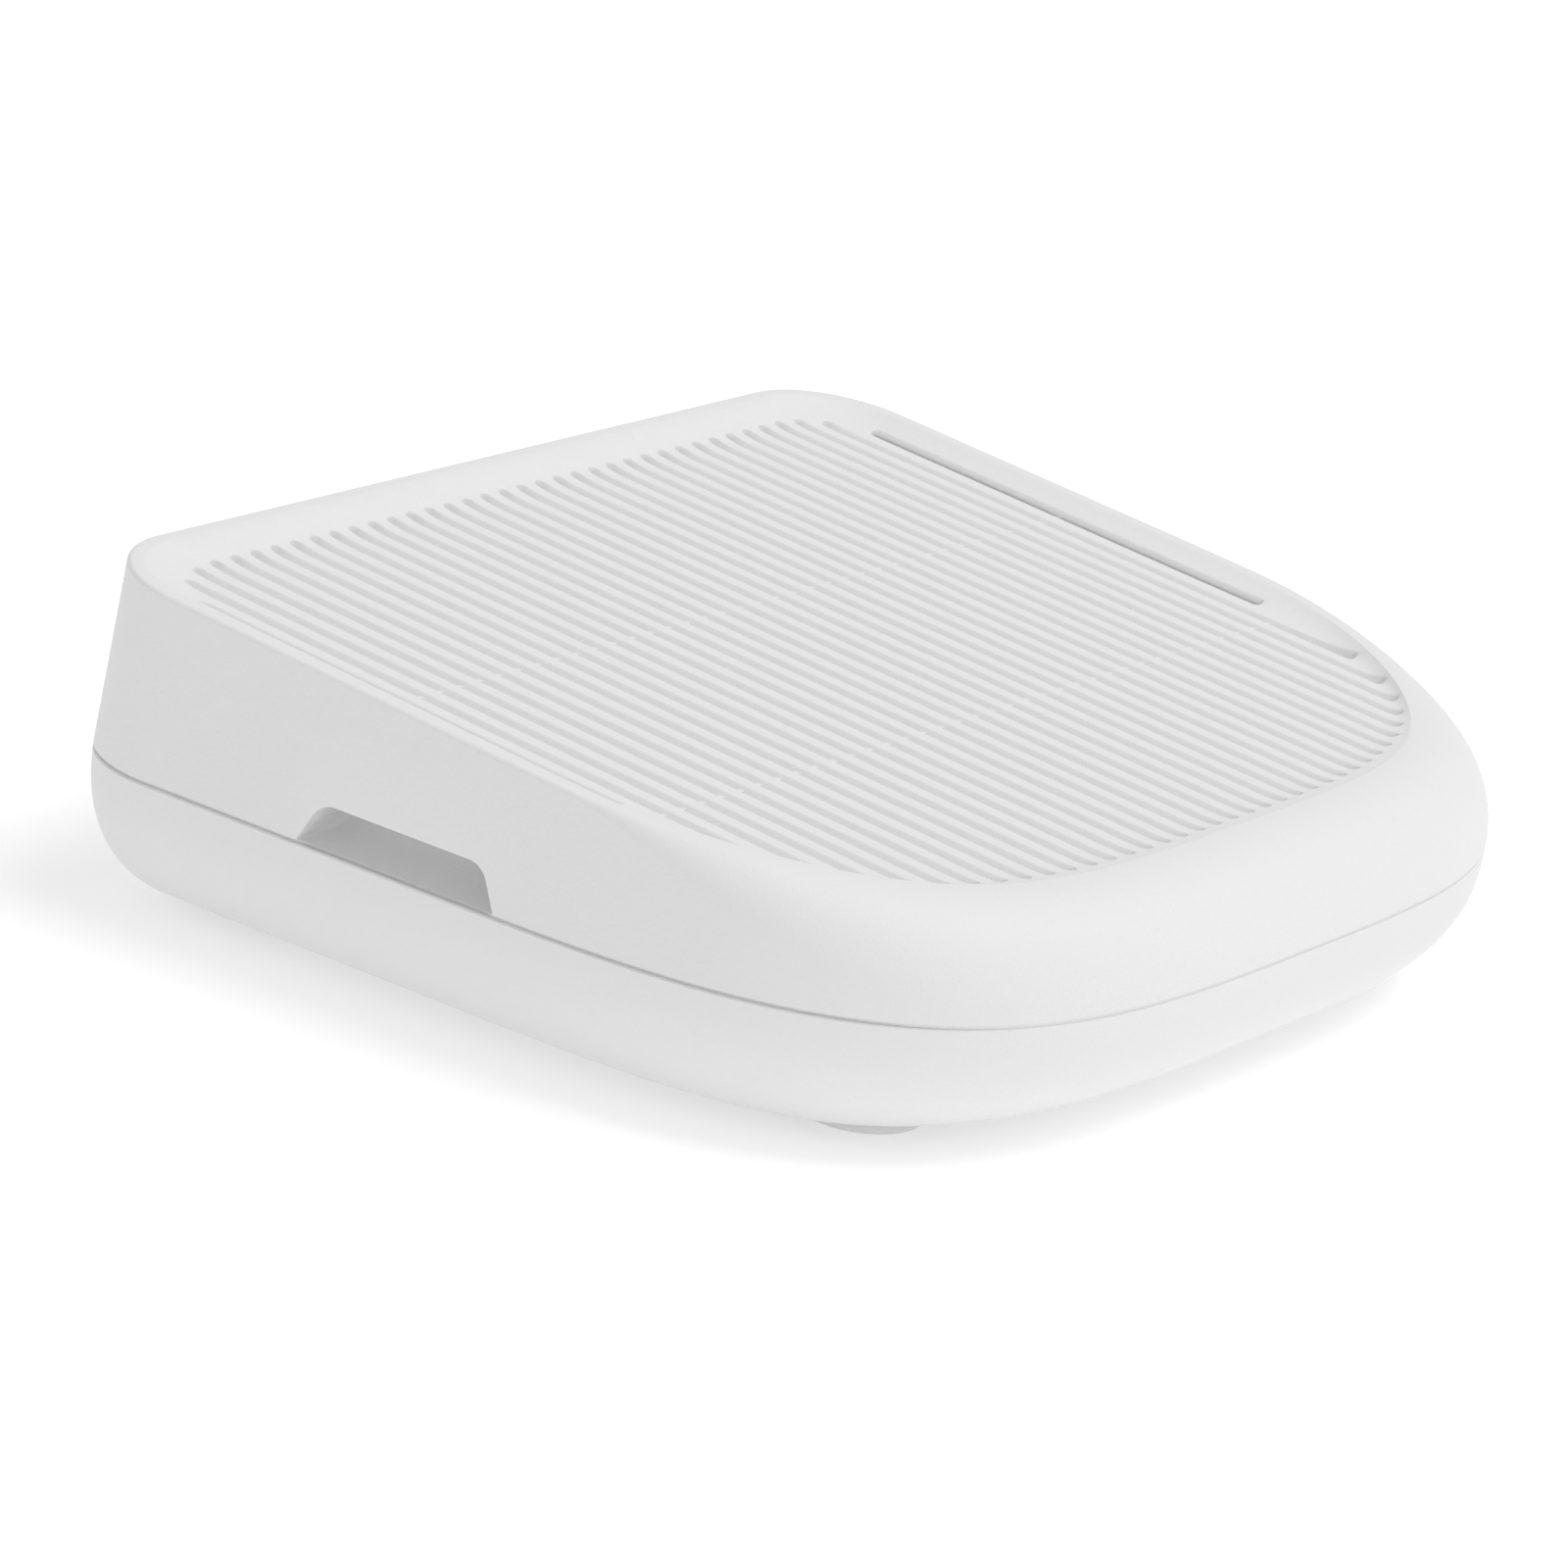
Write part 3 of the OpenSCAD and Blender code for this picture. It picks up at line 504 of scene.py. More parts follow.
def grip_patch(b, left, outer, rows_out, rows_in):
    """The left wall round the grip recess, the recess itself and the block behind it."""
    top = WALL_ROWS - 1
    left = sorted(left, key=lambda i: COLS[i, 1])
    ys = COLS[left, 1]
    lean_rate = (outer[top][left, 0] - outer[0][left, 0]) / (outer[top][left, 2] - outer[0][left, 2])

    def surface(y, z, depth):
        """Points on the leaning left wall, moved in by a depth."""
        x = np.interp(y, ys, outer[0][left, 0]) + np.interp(y, ys, lean_rate) * (z - PARTING - SEAM)
        return np.column_stack([x + depth, y, z])

    rings = []
    for t in np.radians([0, 22.5, 45, 67.5, 90]):
        line = grip_outline(GRIP_EDGE_R * (1 - math.sin(t)))
        rings.append(b.add(surface(line[:, 0], line[:, 1], GRIP_EDGE_R * (1 - math.cos(t)))))
    for first, second in zip(rings, rings[1:]):
        b.strip(first, second, closed=False)
    line = grip_outline(GRIP_EDGE_R)

    # the wall from the recess out to the grid that it replaces
    clear = 0.2
    low = [i for i in left if COLS[i, 1] < line[0][0] - clear]
    high = [i for i in left if COLS[i, 1] > line[-1][0] + clear]
    loop = [(rows_out[0][i], outer[0][i]) for i in low]
    loop += [(rings[0][k], np.array([0, *line[k]])) for k in range(len(line))]
    loop += [(rows_out[0][i], outer[0][i]) for i in high]
    loop += [(rows_out[k][left[-1]], outer[k][left[-1]]) for k in range(1, top)]
    loop += [(rows_out[top][i], outer[top][i]) for i in left[::-1]]
    loop += [(rows_out[k][left[0]], outer[k][left[0]]) for k in range(top - 1, 0, -1)]
    flat = np.array([p[1:3] for _, p in loop])
    b.fill(flat, [i for i, _ in loop], loop_edges(0, len(loop)), flip=True)

    # the scooped hollow
    edge = grip_outline(0)
    floor = np.array([(v, PARTING + SEAM) for v in np.linspace(edge[-1][0], edge[0][0], 31)[1:-1]])
    grid = []
    for z in PARTING + SEAM + np.array(GRIP_LEVELS):
        grid += [(y, z) for y in np.linspace(edge[0][0], edge[-1][0], 91)]
    grid = np.array(grid)
    a, c = edge[:-1], edge[1:]

    def gap_to_edge(p):
        """Distance of each point from the hollow's outline."""
        t = np.clip(((p[:, None] - a) * (c - a)).sum(2) / ((c - a) ** 2).sum(1), 0, 1)
        return np.linalg.norm(p[:, None] - (a + (c - a) * t[..., None]), axis=2).min(1)

    within = np.array([inside_polygon(p, edge) for p in grid])
    grid = grid[within]
    grid = grid[gap_to_edge(grid) > GRID_CLEAR]
    body = np.vstack([edge, floor, grid])
    up = np.clip((body[:, 1] - PARTING - SEAM) / (GRIP_H - SEAM), 0, 1)
    near = np.clip(gap_to_edge(body) / SCOOP_R, 0, 1)
    depth = GRIP_EDGE_R + GRIP_DEPTH * np.sqrt(1 - (1 - up) ** 2) * np.sqrt(1 - (1 - near) ** 2)
    rest = slice(len(edge), None)
    body_index = np.concatenate([rings[-1], b.add(surface(body[rest, 0], body[rest, 1], depth[rest]))])
    ring_count = len(edge) + len(floor)
    b.fill(body, body_index, loop_edges(0, ring_count), flip=True)

    # the underside of the wall here, and the block that backs the recess
    under = [rows_out[0][i] for i in low] + [r[0] for r in rings[:-1]]
    under += [body_index[0], *body_index[len(edge) : ring_count][::-1], body_index[len(edge) - 1]]
    under += [r[-1] for r in rings[-2::-1]] + [rows_out[0][i] for i in high]
    back_x = -HALF_W + GRIP_DEPTH + WALL
    levels = (PARTING + SEAM, PARTING + GRIP_H + BLOCK_OVER)
    far = [b.add([[back_x, COLS[i, 1], z] for z in levels]) for i in (left[0], left[-1])]
    under += [rows_in[0][left[-1]], far[1][0], far[0][0], rows_in[0][left[0]]]
    b.faces.append(tuple(under))
    ladder = [[rows_in[k][i] for k in range(4)] for i in (left[0], left[-1])]
    b.faces.append((*ladder[0], far[0][1], far[0][0]))
    b.faces.append((*ladder[1][::-1], far[1][0], far[1][1]))
    b.faces.append((far[0][0], far[0][1], far[1][1], far[1][0]))
    b.faces.append((far[0][1], *[rows_in[3][i] for i in left], far[1][1]))


def inside_polygon(p, line):
    """Is p inside the closed shape of that line?"""
    x, y = line[:, 0], line[:, 1]
    x2, y2 = np.roll(x, -1), np.roll(y, -1)
    crosses = ((y > p[1]) != (y2 > p[1])) & (p[0] < (x2 - x) * (p[1] - y) / (y2 - y + 1e-12) + x)
    return bool(crosses.sum() % 2)


# ---------- bottom cover ----------


def circle(x, y, r, n=48):
    """Plan points of a circle, anticlockwise."""
    a = np.linspace(0, 2 * math.pi, n, endpoint=False)
    return np.column_stack([x + r * np.cos(a), y + r * np.sin(a)])


def keyhole(x, y, grow):
    """Round entry with a narrow neck towards the front, anticlockwise."""
    big, small, reach = 4.0 + grow, 2.1 + grow, 6.0
    open_angle = math.asin(small / big)
    a = np.linspace(-math.pi / 2 + open_angle, 1.5 * math.pi - open_angle, 40)
    c = np.linspace(math.pi, 2 * math.pi, 20)
    entry = np.column_stack([x + big * np.cos(a), y + big * np.sin(a)])
    neck = np.column_stack([x + small * np.cos(c), y - reach + small * np.sin(c)])
    return np.vstack([entry, neck])


def outside_of(loops):
    """A test that a point is in none of those closed shapes."""
    return lambda p: not any(inside_polygon(p, line) for line in loops)


MOUTH_R = 0.3  # the small round at the mouth of each opening underneath
GROOVE_CHAMFER = 0.18  # on the lower cover's edge along the parting groove


def make_bottom():
    """The bottom cover: two bowls, the rear bay, the openings underneath, the lip and the posts."""
    b = Build()
    rim_z = PARTING - SEAM
    width = mix(BOWL_RUN, BOWL_FRONT, np.clip(-COLS[:, 3], 0, 1) ** 2)

    def bowl(gap, floor_z, count):
        """Rows of a bowl from the rim down to its floor."""
        rows = []
        for t in np.linspace(0, 90, count):
            drop = math.sin(math.radians(t))
            run = 1 - (1 - drop**BOWL_POWER) ** (1 / BOWL_POWER)
            d = gap + (width - gap / 2) * run
            rows.append(raised(inset(d), floor_z + (rim_z - floor_z) * (1 - drop)))
        return rows

    def with_level(rows, z):
        """Moves the row nearest to a level onto it, so that the rear bay's sill is straight."""
        heights = np.array([r[0, 2] for r in rows])
        k = int(np.abs(heights - z).argmin())
        upper, lower = (k - 1, k) if z > heights[k] else (k, k + 1)
        t = (z - heights[upper]) / (heights[lower] - heights[upper])
        rows[k] = mix(rows[upper], rows[lower], t)
        return k

    outer = bowl(0, FOOT_H, 31)
    inner = bowl(WALL, FOOT_H + WALL, 16)
    sill_out, sill_in = with_level(outer, BAY_BOTTOM), with_level(inner, BAY_BOTTOM)
    outer.insert(1, raised(inset(0), rim_z - GROOVE_CHAMFER))
    outer[0] = raised(inset(GROOVE_CHAMFER), outer[0][:, 2])
    sill_out += 1
    rows_out = [b.add(r) for r in outer]
    rows_in = [b.add(r) for r in inner]
    bay = set(BAY)
    for k in range(len(rows_out) - 1):
        b.strip(rows_out[k + 1], rows_out[k], skip=bay if k < sill_out else ())
    for k in range(len(rows_in) - 1):
        b.strip(rows_in[k], rows_in[k + 1], skip=bay if k < sill_in else ())
    b.strip(rows_out[0], rows_in[0], skip=bay)
    row = [*BAY, BAY_ENDS[1]]
    b.strip(rows_in[sill_in][row], rows_out[sill_out][row], closed=False)
    for i in BAY_ENDS:
        down = [rows_out[k][i] for k in range(sill_out + 1)]
        up = [rows_in[k][i] for k in range(sill_in, -1, -1)]
        b.faces.append(tuple(down + up))

    # the flat bottom with its openings, each with a small round at its mouth
    mouths = [lambda g, x=x, y=y: circle(x, y, FOOT_HOLE_R + g) for x, y in FEET]
    mouths += [lambda g, x=x, y=y: keyhole(x, y, g) for x, y in KEYHOLES]
    mouths += [lambda g, x=x: rounded_slot(x, *VENT_YS, g, half=1.0, r=0.9) for x in VENT_XS]
    flat, index, edges = [outer[-1][:, :2]], [rows_out[-1]], loop_edges(0, N)
    low_flat, low_index, low_edges = [inner[-1][:, :2]], [rows_in[-1]], loop_edges(0, N)
    base = N
    for mouth in mouths:
        last = None
        for t in np.radians([0, 30, 60, 90]):
            ring = mouth(MOUTH_R * (1 - math.sin(t)))
            now = b.add(raised(ring, FOOT_H + MOUTH_R * (1 - math.cos(t))))
            if last is None:
                flat.append(ring)
                index.append(now)
            else:
                b.strip(now, last)
            last = now
        ring = mouth(0)
        now = b.add(raised(ring, FOOT_H + WALL))
        b.strip(now, last)
        low_flat.append(ring)
        low_index.append(now)
        edges += loop_edges(base, len(ring))
        low_edges += loop_edges(base, len(ring))
        base += len(ring)
    b.fill(np.vstack(flat), np.concatenate(index), edges, inside=outside_of(flat[1:]), flip=True)
    b.fill(np.vstack(low_flat), np.concatenate(low_index), low_edges, inside=outside_of(low_flat[1:]))
    add_tongue(b)
    floor = FOOT_H + WALL - SINK
    for x, y in FEET:
        b.pipe(x, y, floor, BOSS_Z, BOSS_R, BOSS_BORE)
    for x, y in STANDS:
        b.pipe(x, y, floor, STAND_Z, STAND_R, STAND_BORE)
    for side in (-1, 1):
        x, y = side * FRONT_RIB[0], FRONT_RIB[1]
        b.box((x - RIB_HALF, y - RIB_T / 2, floor), (x + RIB_HALF, y + RIB_T / 2, RIB_TOP))
        x, y = side * SIDE_RIB[0], SIDE_RIB[1]
        b.box((x - RIB_T / 2, y - RIB_HALF, floor), (x + RIB_T / 2, y + RIB_HALF, RIB_TOP))
    return b.done("bottom_shell", sharp=SHARP_OVER)


LIP_IN, GROOVE_IN, GROOVE_FRONT_IN, GROOVE_GRIP_IN = 2.75, 0.5, 0.22, 0.85


def add_tongue(b):
    """The lip inside the parting groove and the groove's floor.

    Both leave out the straight rear, and the lip leaves out the recess too.
    """
    rear = set(np.flatnonzero(ON_REAR))
    beside = COLS[:, 0] < PATCH_X
    grip = set(np.flatnonzero(beside & (PATCH_FRONT - 0.5 < COLS[:, 1]) & (COLS[:, 1] < PATCH_REAR + 0.5)))
    # the groove is shallow towards the front right and deepest under the recess
    facing = COLS[:, 2] * 0.5 - COLS[:, 3] * 0.87
    floor_in = mix(GROOVE_IN, GROOVE_FRONT_IN, smooth(facing / 0.6))
    floor_in[beside & (abs(COLS[:, 1] - GRIP_Y) < GRIP_BASE / 2)] = GROOVE_GRIP_IN
    lip = (LIP_IN, LIP_IN + 1.3, -6, 2.2, rear | grip)
    groove_floor = (floor_in, floor_in + 1.4, -SEAM - 0.3, SEAM - 0.03, rear)
    for near, far, z0, z1, cut in (lip, groove_floor):
        skip = {i for i in range(N) if i in cut or (i + 1) % N in cut}
        section = ((near, z0), (near, z1), (far, z1), (far, z0))
        ring = [b.add(raised(inset(d), PARTING + z)) for d, z in section]
        for k in range(4):
            b.strip(ring[k], ring[(k + 1) % 4], skip=skip)
        for i in range(N):
            before, after = (i - 1) % N in skip, i in skip
            if before != after:
                b.faces.append(tuple(r[i] for r in ring))


# ---------- materials ----------


def material(name, colour, rough=0.5, metal=0.0, vary=0.06, grain=400.0, bump=0.0, bump_scale=2500.0, **more):
    """A plastic, metal or rubber whose tone and roughness wander a little, with an optional fine bump."""
    m = bpy.data.materials.new(name)
    m.use_nodes = True
    nodes, links = m.node_tree.nodes, m.node_tree.links
    shader = nodes["Principled BSDF"]
    coord = nodes.new("ShaderNodeTexCoord")
    noise = nodes.new("ShaderNodeTexNoise")
    noise.inputs["Scale"].default_value = grain
    noise.inputs["Detail"].default_value = 3.0
    links.new(coord.outputs["Object"], noise.inputs["Vector"])
    tone = nodes.new("ShaderNodeMix")
    tone.data_type = "RGBA"
    tone.inputs["A"].default_value = (*[c * (1 - vary) for c in colour], 1)
    tone.inputs["B"].default_value = (*[min(1.0, c * (1 + vary)) for c in colour], 1)
    links.new(noise.outputs["Fac"], tone.inputs["Factor"])
    links.new(tone.outputs["Result"], shader.inputs["Base Color"])
    spread = nodes.new("ShaderNodeMapRange")
    spread.inputs["To Min"].default_value = max(0.02, rough - 0.06)
    spread.inputs["To Max"].default_value = min(1.0, rough + 0.06)
    links.new(noise.outputs["Fac"], spread.inputs["Value"])
    links.new(spread.outputs["Result"], shader.inputs["Roughness"])
    shader.inputs["Metallic"].default_value = metal
    for key, value in more.items():
        shader.inputs[key.replace("_", " ")].default_value = value
    if bump:
        fine = nodes.new("ShaderNodeTexNoise")
        fine.inputs["Scale"].default_value = bump_scale
        fine.inputs["Detail"].default_value = 2.0
        links.new(coord.outputs["Object"], fine.inputs["Vector"])
        relief = nodes.new("ShaderNodeBump")
        relief.inputs["Strength"].default_value = bump
        relief.inputs["Distance"].default_value = 0.0001
        links.new(fine.outputs["Fac"], relief.inputs["Height"])
        links.new(relief.outputs["Normal"], shader.inputs["Normal"])
    return m


def grey(v):
    return (v, v, v)


WHITE = material(
    "white_plastic",
    grey(0.80),
    0.55,
    vary=0.012,
    grain=900,
    bump=0.5,
    bump_scale=2600,
    Specular_IOR_Level=0.35,
)
PANEL = material("panel_plastic", grey(0.74), 0.5, vary=0.012, grain=900, bump=0.3, bump_scale=2600)
PALE_RUBBER = material("pale_rubber", grey(0.76), 0.7, vary=0.03, grain=700, bump=0.3, bump_scale=1800)
STEEL = material("zinc_steel", (0.62, 0.62, 0.63), 0.35, 1.0, vary=0.08, grain=900, bump=0.2, bump_scale=3000)
TIN = material("tinplate", (0.74, 0.74, 0.75), 0.3, 1.0, vary=0.05, grain=300, bump=0.15, bump_scale=2000)
ALUMINIUM = material(
    "extruded_aluminium", (0.78, 0.79, 0.80), 0.38, 1.0, vary=0.05, grain=500, bump=0.2, bump_scale=2400
)
GOLD = material("gold_flash", (0.83, 0.62, 0.28), 0.28, 1.0, vary=0.06, grain=900)
BLACK = material(
    "black_plastic", (0.022, 0.022, 0.023), 0.45, vary=0.2, grain=900, bump=0.3, bump_scale=2400
)
EPOXY = material(
    "black_epoxy", (0.035, 0.035, 0.037), 0.6, vary=0.2, grain=1500, bump=0.3, bump_scale=3000
)
FERRITE = material("ferrite", (0.08, 0.08, 0.085), 0.75, vary=0.25, grain=1500, bump=0.5, bump_scale=2000)
SILICONE = material(
    "thermal_silicone", (0.33, 0.47, 0.58), 0.8, vary=0.08, grain=700, bump=0.4, bump_scale=1500
)
NYLON = material("natural_nylon", (0.78, 0.77, 0.73), 0.5, vary=0.03, grain=700, Subsurface_Weight=0.1)
BUTTON = material("button_plastic", grey(0.66), 0.4, vary=0.015, grain=900, bump=0.15, bump_scale=2600)
LABEL = material("label_film", (0.80, 0.80, 0.79), 0.42, vary=0.01, grain=500)
PHOSPHOR = material("led_phosphor", (0.85, 0.80, 0.45), 0.3, vary=0.05, grain=1500)
CLEAR = material("clear_acrylic", (0.95, 0.96, 0.96), 0.12, vary=0.01, grain=500, Transmission_Weight=0.85)
JACKET = material("cable_jacket", (0.10, 0.10, 0.105), 0.5, vary=0.1, grain=900)


def board_material():
    """Green solder mask with copper tracks that show faintly through it."""
    m = material("solder_mask", (0.022, 0.12, 0.055), 0.32, vary=0.12, grain=120)
    nodes, links = m.node_tree.nodes, m.node_tree.links
    shader = nodes["Principled BSDF"]
    coord = nodes.new("ShaderNodeTexCoord")
    tracks = nodes.new("ShaderNodeTexBrick")
    tracks.inputs["Scale"].default_value = 260.0
    tracks.inputs["Mortar Size"].default_value = 0.03
    tracks.inputs["Mortar Smooth"].default_value = 0.2
    links.new(coord.outputs["Object"], tracks.inputs["Vector"])
    tint = nodes.new("ShaderNodeMix")
    tint.data_type = "RGBA"
    tint.inputs["B"].default_value = (0.05, 0.24, 0.10, 1)
    links.new(tracks.outputs["Fac"], tint.inputs["Factor"])
    links.new(shader.inputs["Base Color"].links[0].from_socket, tint.inputs["A"])
    links.new(tint.outputs["Result"], shader.inputs["Base Color"])
    return m


BOARD = board_material()

# ---------- pieces ----------


def piece(obj, surface, body="case", replaced=()):
    """Gives a piece its material and its CAD body, and hides the CAD nodes that it replaces."""
    obj.data.materials.clear()
    for m in surface if isinstance(surface, (list, tuple)) else [surface]:
        obj.data.materials.append(m)
    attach(obj, body)
    if replaced:
        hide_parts(*replaced)


ROUNDED_OVER, SHARP_OVER = 40, 32  # degrees between faces where an edge is rounded, and kept sharp


def softened(node, width):
    """A copy of a CAD node's mesh with its flat faces joined and its edges rounded."""
    mesh = frame["nodes"][node].data.copy()
    obj = bpy.data.objects.new(node + "_look", mesh)
    scene.collection.objects.link(obj)
    work = bmesh.new()
    work.from_mesh(mesh)
    bmesh.ops.remove_doubles(work, verts=work.verts, dist=1e-6)
    bmesh.ops.dissolve_limit(work, angle_limit=math.radians(1.5), verts=work.verts, edges=work.edges)
    shared = [e for e in work.edges if len(e.link_faces) == 2]
    edges = [e for e in shared if e.calc_face_angle() > math.radians(ROUNDED_OVER)]
    bmesh.ops.bevel(
        work,
        geom=edges,
        offset=width * MM,
        segments=3,
        profile=0.5,
        affect="EDGES",
        clamp_overlap=True,
    )
    work.to_mesh(mesh)
    work.free()
    mesh.shade_smooth()
    mesh.set_sharp_from_angle(angle=math.radians(SHARP_OVER))
    return obj


piece(make_top(), WHITE, replaced=["top_cover"])
piece(make_bottom(), WHITE, replaced=["bottom_cover"])
SLOT = {s["node"]: s["material_slot"] for s in frame["record"]["subparts"]}

SOFTENED = {
    "rear_panel": (PANEL, 0.22),
    "dc_jack": (BLACK, 0.15),
    "main_board": (BOARD, 0.1),
    "heatsink": (ALUMINIUM, 0.1),
    "heatsink_clips": (NYLON, 0.15),
    "processor": (EPOXY, 0.15),
    "memory_chip": (EPOXY, 0.12),
    "flash_chip": (EPOXY, 0.12),
    "switch_chip": (EPOXY, 0.12),
    "wan_transformer": (EPOXY, 0.25),
    "lan_transformer": (EPOXY, 0.25),
    "capacitors": (ALUMINIUM, 0.35),
    "power_inductor": (FERRITE, 0.3),
    "crystals": (TIN, 0.25),
    "power_switch": (NYLON, 0.2),
    "pairing_switch": (BLACK, 0.2),
    "reset_switch": (BLACK, 0.15),
    "light_pipe": (CLEAR, 0.1),
    "case_screws": (STEEL, 0.1),
    "board_screws": (STEEL, 0.1),
    "foot_front_left": (PALE_RUBBER, 0.3),
    "foot_front_right": (PALE_RUBBER, 0.3),
    "foot_rear_left": (PALE_RUBBER, 0.3),
    "foot_rear_right": (PALE_RUBBER, 0.3),
}
for node, (surface, width) in SOFTENED.items():
    piece(softened(node, width), surface, replaced=[node])
BUTTONS = {"power_button": 0.35, "pairing_button": 0.35, "reset_button": 0.2}
for node, width in BUTTONS.items():
    piece(softened(node, width), BUTTON, body=node, replaced=[node])

# carried-over CAD nodes keep their shape
CARRIED = {
    "rating_label": LABEL,
    "thermal_pad": SILICONE,
    "wifi_chip_2g": EPOXY,
    "wifi_chip_5g": EPOXY,
    "wifi_shield_2g": TIN,
    "wifi_shield_5g": TIN,
    "status_led": PHOSPHOR,
    "antenna_front_left": GOLD,
    "antenna_front_right": GOLD,
    "antenna_rear_left": GOLD,
    "antenna_rear_right": GOLD,
    "antenna_connectors": GOLD,
    "antenna_cables": JACKET,
}
for node, surface in CARRIED.items():
    frame["nodes"][node].data.materials.clear()
    frame["nodes"][node].data.materials.append(surface)

# network sockets: a plated shell, a black lining and eight spring contacts
BOARD_TOP, PANEL_FACE = 10.6, 66.9
CONTACT_PITCH, WIRE_X, WIRE_Z = 1.02, 0.17, 0.14
WIRE = ((-WIRE_X, -WIRE_Z), (WIRE_X, -WIRE_Z), (WIRE_X, WIRE_Z), (-WIRE_X, WIRE_Z))
# how far behind the panel's face and above the board a contact's bends are
CONTACT_PATH = ((3.2, 10.85), (4.2, 10.7), (9.2, 7.6), (11.9, 7.2))
for node in ("wan_jack", "lan_jack_1", "lan_jack_2", "lan_jack_3"):
    shell = softened(node, 0.12)
    piece(shell, [TIN, BLACK], replaced=[node])
    low, high = (np.array(c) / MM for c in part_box(node))
    x = (low[0] + high[0]) / 2
    for face in shell.data.polygons:
        c = np.array(face.center) / MM
        lining = abs(c[0] - x) < 6.3 and low[2] + 0.4 < c[2] < high[2] - 2.2 and c[1] > low[1] + 2
        face.material_index = int(lining and c[1] < PANEL_FACE - 0.05)
    contacts = Build()
    for k in range(8):
        cx = x + (k - 3.5) * CONTACT_PITCH
        rows = []
        for back, over in CONTACT_PATH:
            y, z = PANEL_FACE - back, BOARD_TOP + over
            rows.append(contacts.add([(cx + dx, y, z + dz) for dx, dz in WIRE]))
        for a, c in zip(rows, rows[1:]):
            contacts.strip(a, c)
        contacts.faces += [tuple(rows[0][::-1]), tuple(rows[-1])]
    piece(contacts.done(node + "_contacts"), GOLD)

# the DC inlet's centre pin is metal
pin = Build()
PIN_X, PIN_Z = 47, 17.1
PIN_STEPS = [(57.0, 1.06), (65.3, 1.06), (65.75, 0.85), (65.89, 0.5)]  # y and radius
angles = np.linspace(0, 2 * math.pi, 32, endpoint=False)
rows = []
for y, r in PIN_STEPS:
    rows.append(pin.add([(PIN_X + r * math.cos(a), y, PIN_Z + r * math.sin(a)) for a in angles]))
for a, c in zip(rows, rows[1:]):
    pin.strip(a, c)
pin.faces += [tuple(rows[0]), tuple(rows[-1][::-1])]
piece(pin.done("dc_pin"), TIN)

# small chip resistors and capacitors scattered where the board is free
# nodes left out of the test, because their boxes take in free board
SPREAD_OUT = {
    "top_cover",
    "bottom_cover",
    "rear_panel",
    "main_board",
    "case_screws",
    "board_screws",
    "antenna_cables",
    "antenna_connectors",
    "capacitors",
    "crystals",
    "heatsink_clips",
    "rating_label",
}
taken = [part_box(n) for n in SLOT if n not in SPREAD_OUT]
taken = [(np.array(a) / MM, np.array(c) / MM) for a, c in taken]
# places that are kept free all the same
busy = [*STANDS, (45, 4), (45, 14), (16, -12), (-20, 22), (-44, -25.5), (21.5, -25.5)]
busy += [(-46, -8), (46, -8), (58, 47), (-58, 47)]
PART_LONG, PART_SHORT, PART_RISE, CAP_RISE, PART_SINK = 0.8, 0.4, 0.5, 0.52, 0.02
MIDDLE = 0.62  # share of a chip part that is its body and not its ends
KEEP_OFF, KEEP_ROUND, KEEP_APART = 1.2, 5.5, 2.2
random.seed(7)
bodies, caps = Build(), Build()
placed = []
for _ in range(2600):
    x, y = round(random.uniform(-52, 52) * 2) / 2, round(random.uniform(-26, 50) * 2) / 2
    along = random.random() < 0.5
    hx, hy = (PART_LONG, PART_SHORT) if along else (PART_SHORT, PART_LONG)
    if any(a[0] - KEEP_OFF < x < c[0] + KEEP_OFF and a[1] - KEEP_OFF < y < c[1] + KEEP_OFF for a, c in taken):
        continue
    if any(math.hypot(x - u, y - v) < KEEP_ROUND for u, v in busy):
        continue
    if any(abs(x - u) < KEEP_APART and abs(y - v) < KEEP_APART for u, v in placed):
        continue
    placed.append((x, y))
    right_half = hx * (MIDDLE if along else 1)
    deep = hy * (1 if along else MIDDLE)
    low = (x - hx * MIDDLE, y - deep, BOARD_TOP - PART_SINK)
    bodies.box(low, (x + right_half, y + deep, BOARD_TOP + PART_RISE))
    for side in (-1, 1):
        cx, cy = (x + side * hx * 0.8, y) if along else (x, y + side * hy * 0.8)
        ex, ey = (hx * 0.2, hy) if along else (hx, hy * 0.2)
        caps.box((cx - ex, cy - ey, BOARD_TOP - PART_SINK), (cx + ex, cy + ey, BOARD_TOP + CAP_RISE))
piece(bodies.done("chip_parts", smooth_faces=False), EPOXY)
piece(caps.done("chip_part_ends", smooth_faces=False), TIN)

# ---------- studio ----------

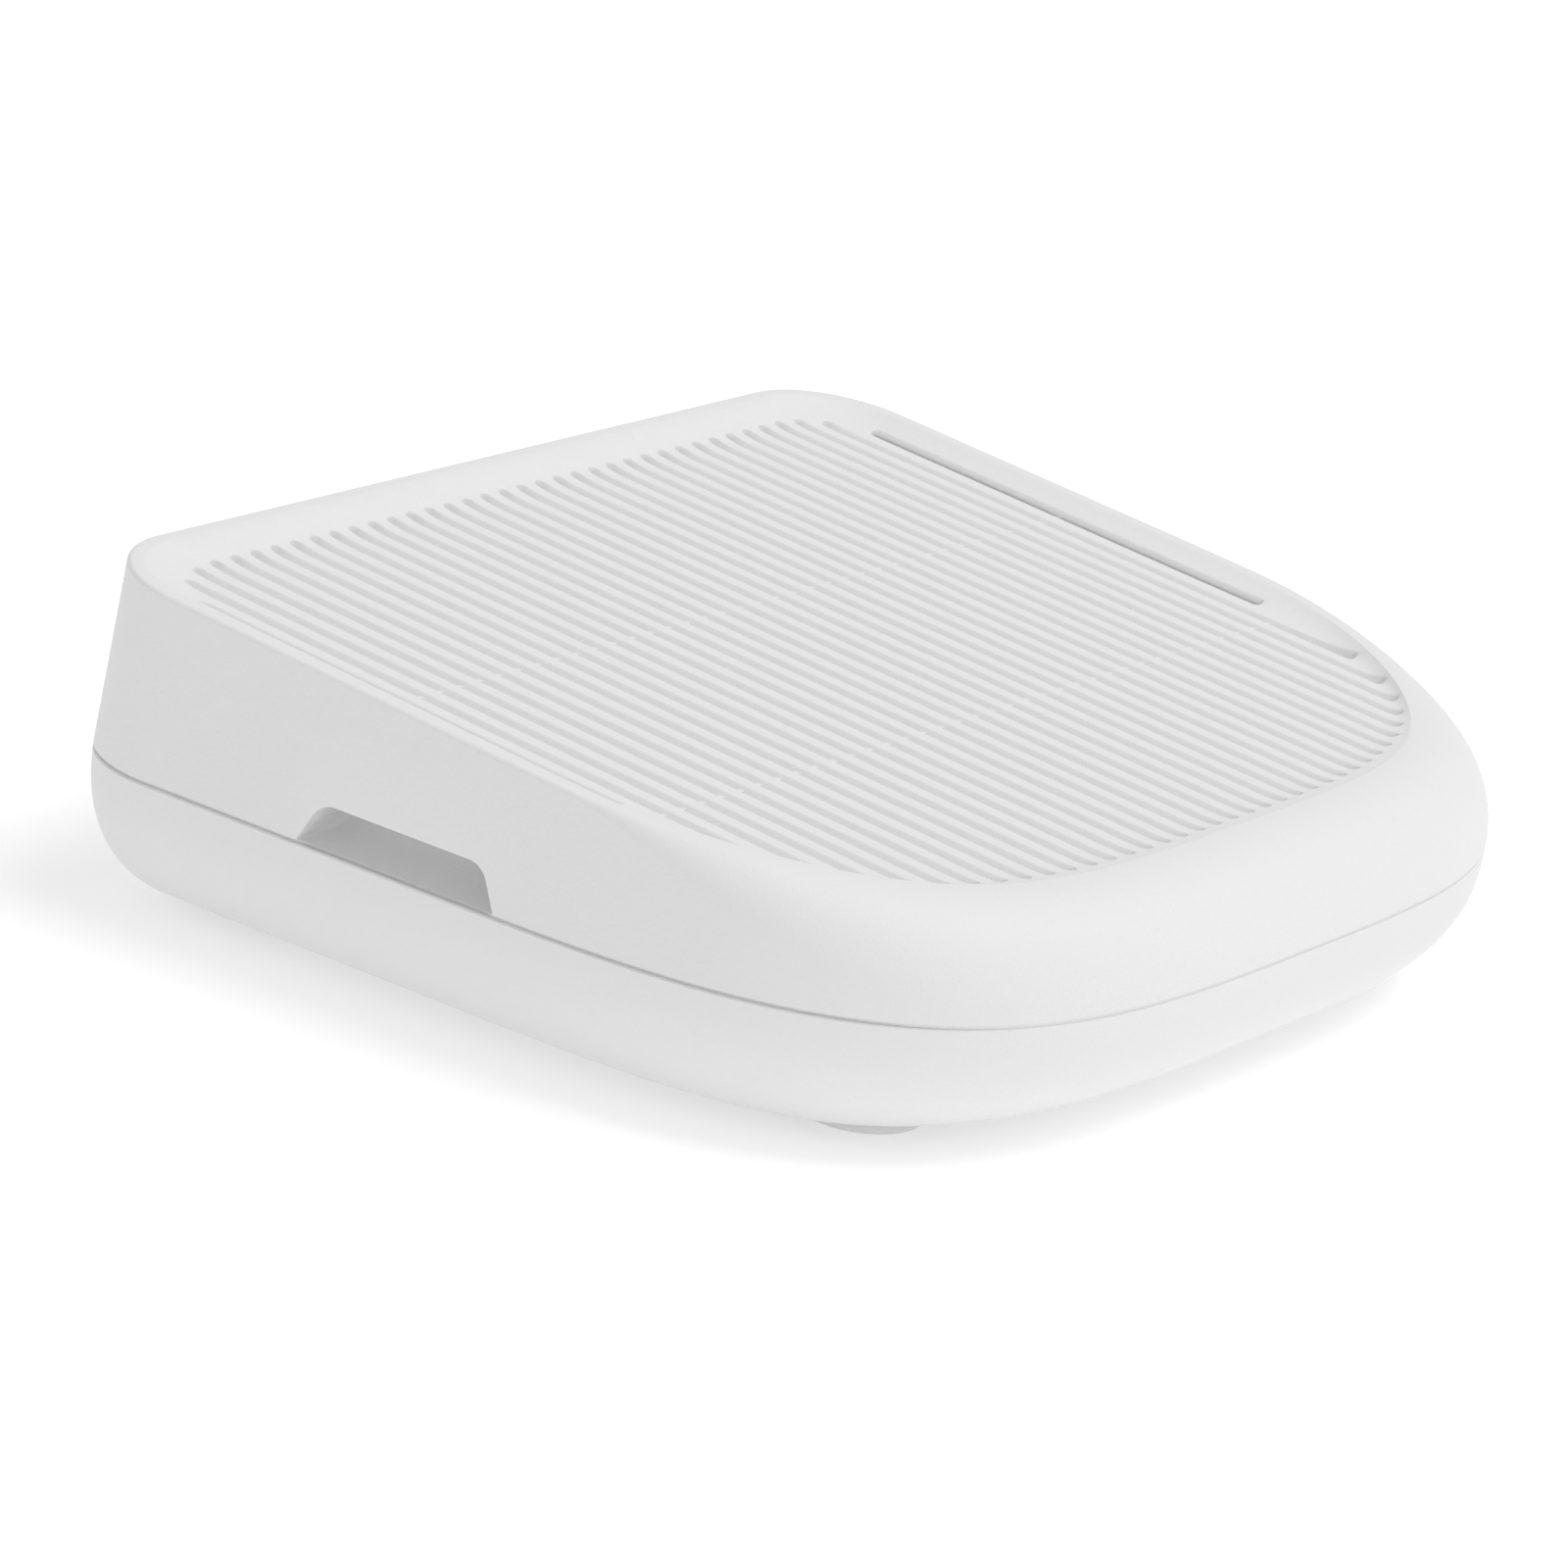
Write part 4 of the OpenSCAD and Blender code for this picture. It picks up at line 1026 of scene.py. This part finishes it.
floor_mesh = bpy.data.meshes.new("floor")
reach = 6.0
corners = [(-reach, -reach, 0), (reach, -reach, 0), (reach, reach, 0), (-reach, reach, 0)]
floor_mesh.from_pydata(corners, [], [(0, 1, 2, 3)])
floor = bpy.data.objects.new("floor", floor_mesh)
scene.collection.objects.link(floor)
floor_mesh.materials.append(
    material(
        "lit_table",
        grey(0.82),
        0.9,
        vary=0.004,
        grain=3,
        Specular_IOR_Level=0.1,
        Emission_Color=(1, 1, 1, 1),
        Emission_Strength=0.33,
    )
)

world = bpy.data.worlds.new("studio")
world.use_nodes = True
world.node_tree.nodes["Background"].inputs["Color"].default_value = (1, 1, 1, 1)
world.node_tree.nodes["Background"].inputs["Strength"].default_value = 0.6
scene.world = world


def area_light(name, place, size, power):
    """A square lamp that points at the part. place and size are in metres, power in watts."""
    data = bpy.data.lights.new(name, "AREA")
    data.shape = "SQUARE"
    data.size = size
    data.energy = power
    obj = bpy.data.objects.new(name, data)
    obj.location = place
    obj.rotation_euler = (-Vector(place)).to_track_quat("-Z", "Y").to_euler()
    scene.collection.objects.link(obj)


area_light("key", (0.62, -0.9, 2.5), 1.6, 32)
area_light("fill", (-0.5, -2.3, 1.2), 2.0, 3.5)

# ---------- camera, in metres ----------

AIM = Vector((-0.0089, 0.0056, 0.0197))
AZIMUTH, ELEVATION, ROLL = (math.radians(a) for a in (-57.82, 18.30, 8.82))
DISTANCE = 0.904
level = Vector((math.cos(AZIMUTH), math.sin(AZIMUTH), 0))
forward = Vector(
    (
        -math.sin(AZIMUTH) * math.cos(ELEVATION),
        math.cos(AZIMUTH) * math.cos(ELEVATION),
        -math.sin(ELEVATION),
    )
)
upright = level.cross(forward)
right = level * math.cos(ROLL) + upright * math.sin(ROLL)
up = upright * math.cos(ROLL) - level * math.sin(ROLL)
camera_data = bpy.data.cameras.new("camera")
camera_data.lens = 162.28
camera_data.sensor_width = 36
camera = bpy.data.objects.new("camera", camera_data)
turn = Matrix((right, up, -forward)).transposed().to_4x4()
camera.matrix_world = Matrix.Translation(AIM - forward * DISTANCE) @ turn
scene.collection.objects.link(camera)
scene.camera = camera

scene.view_settings.view_transform = "Standard"
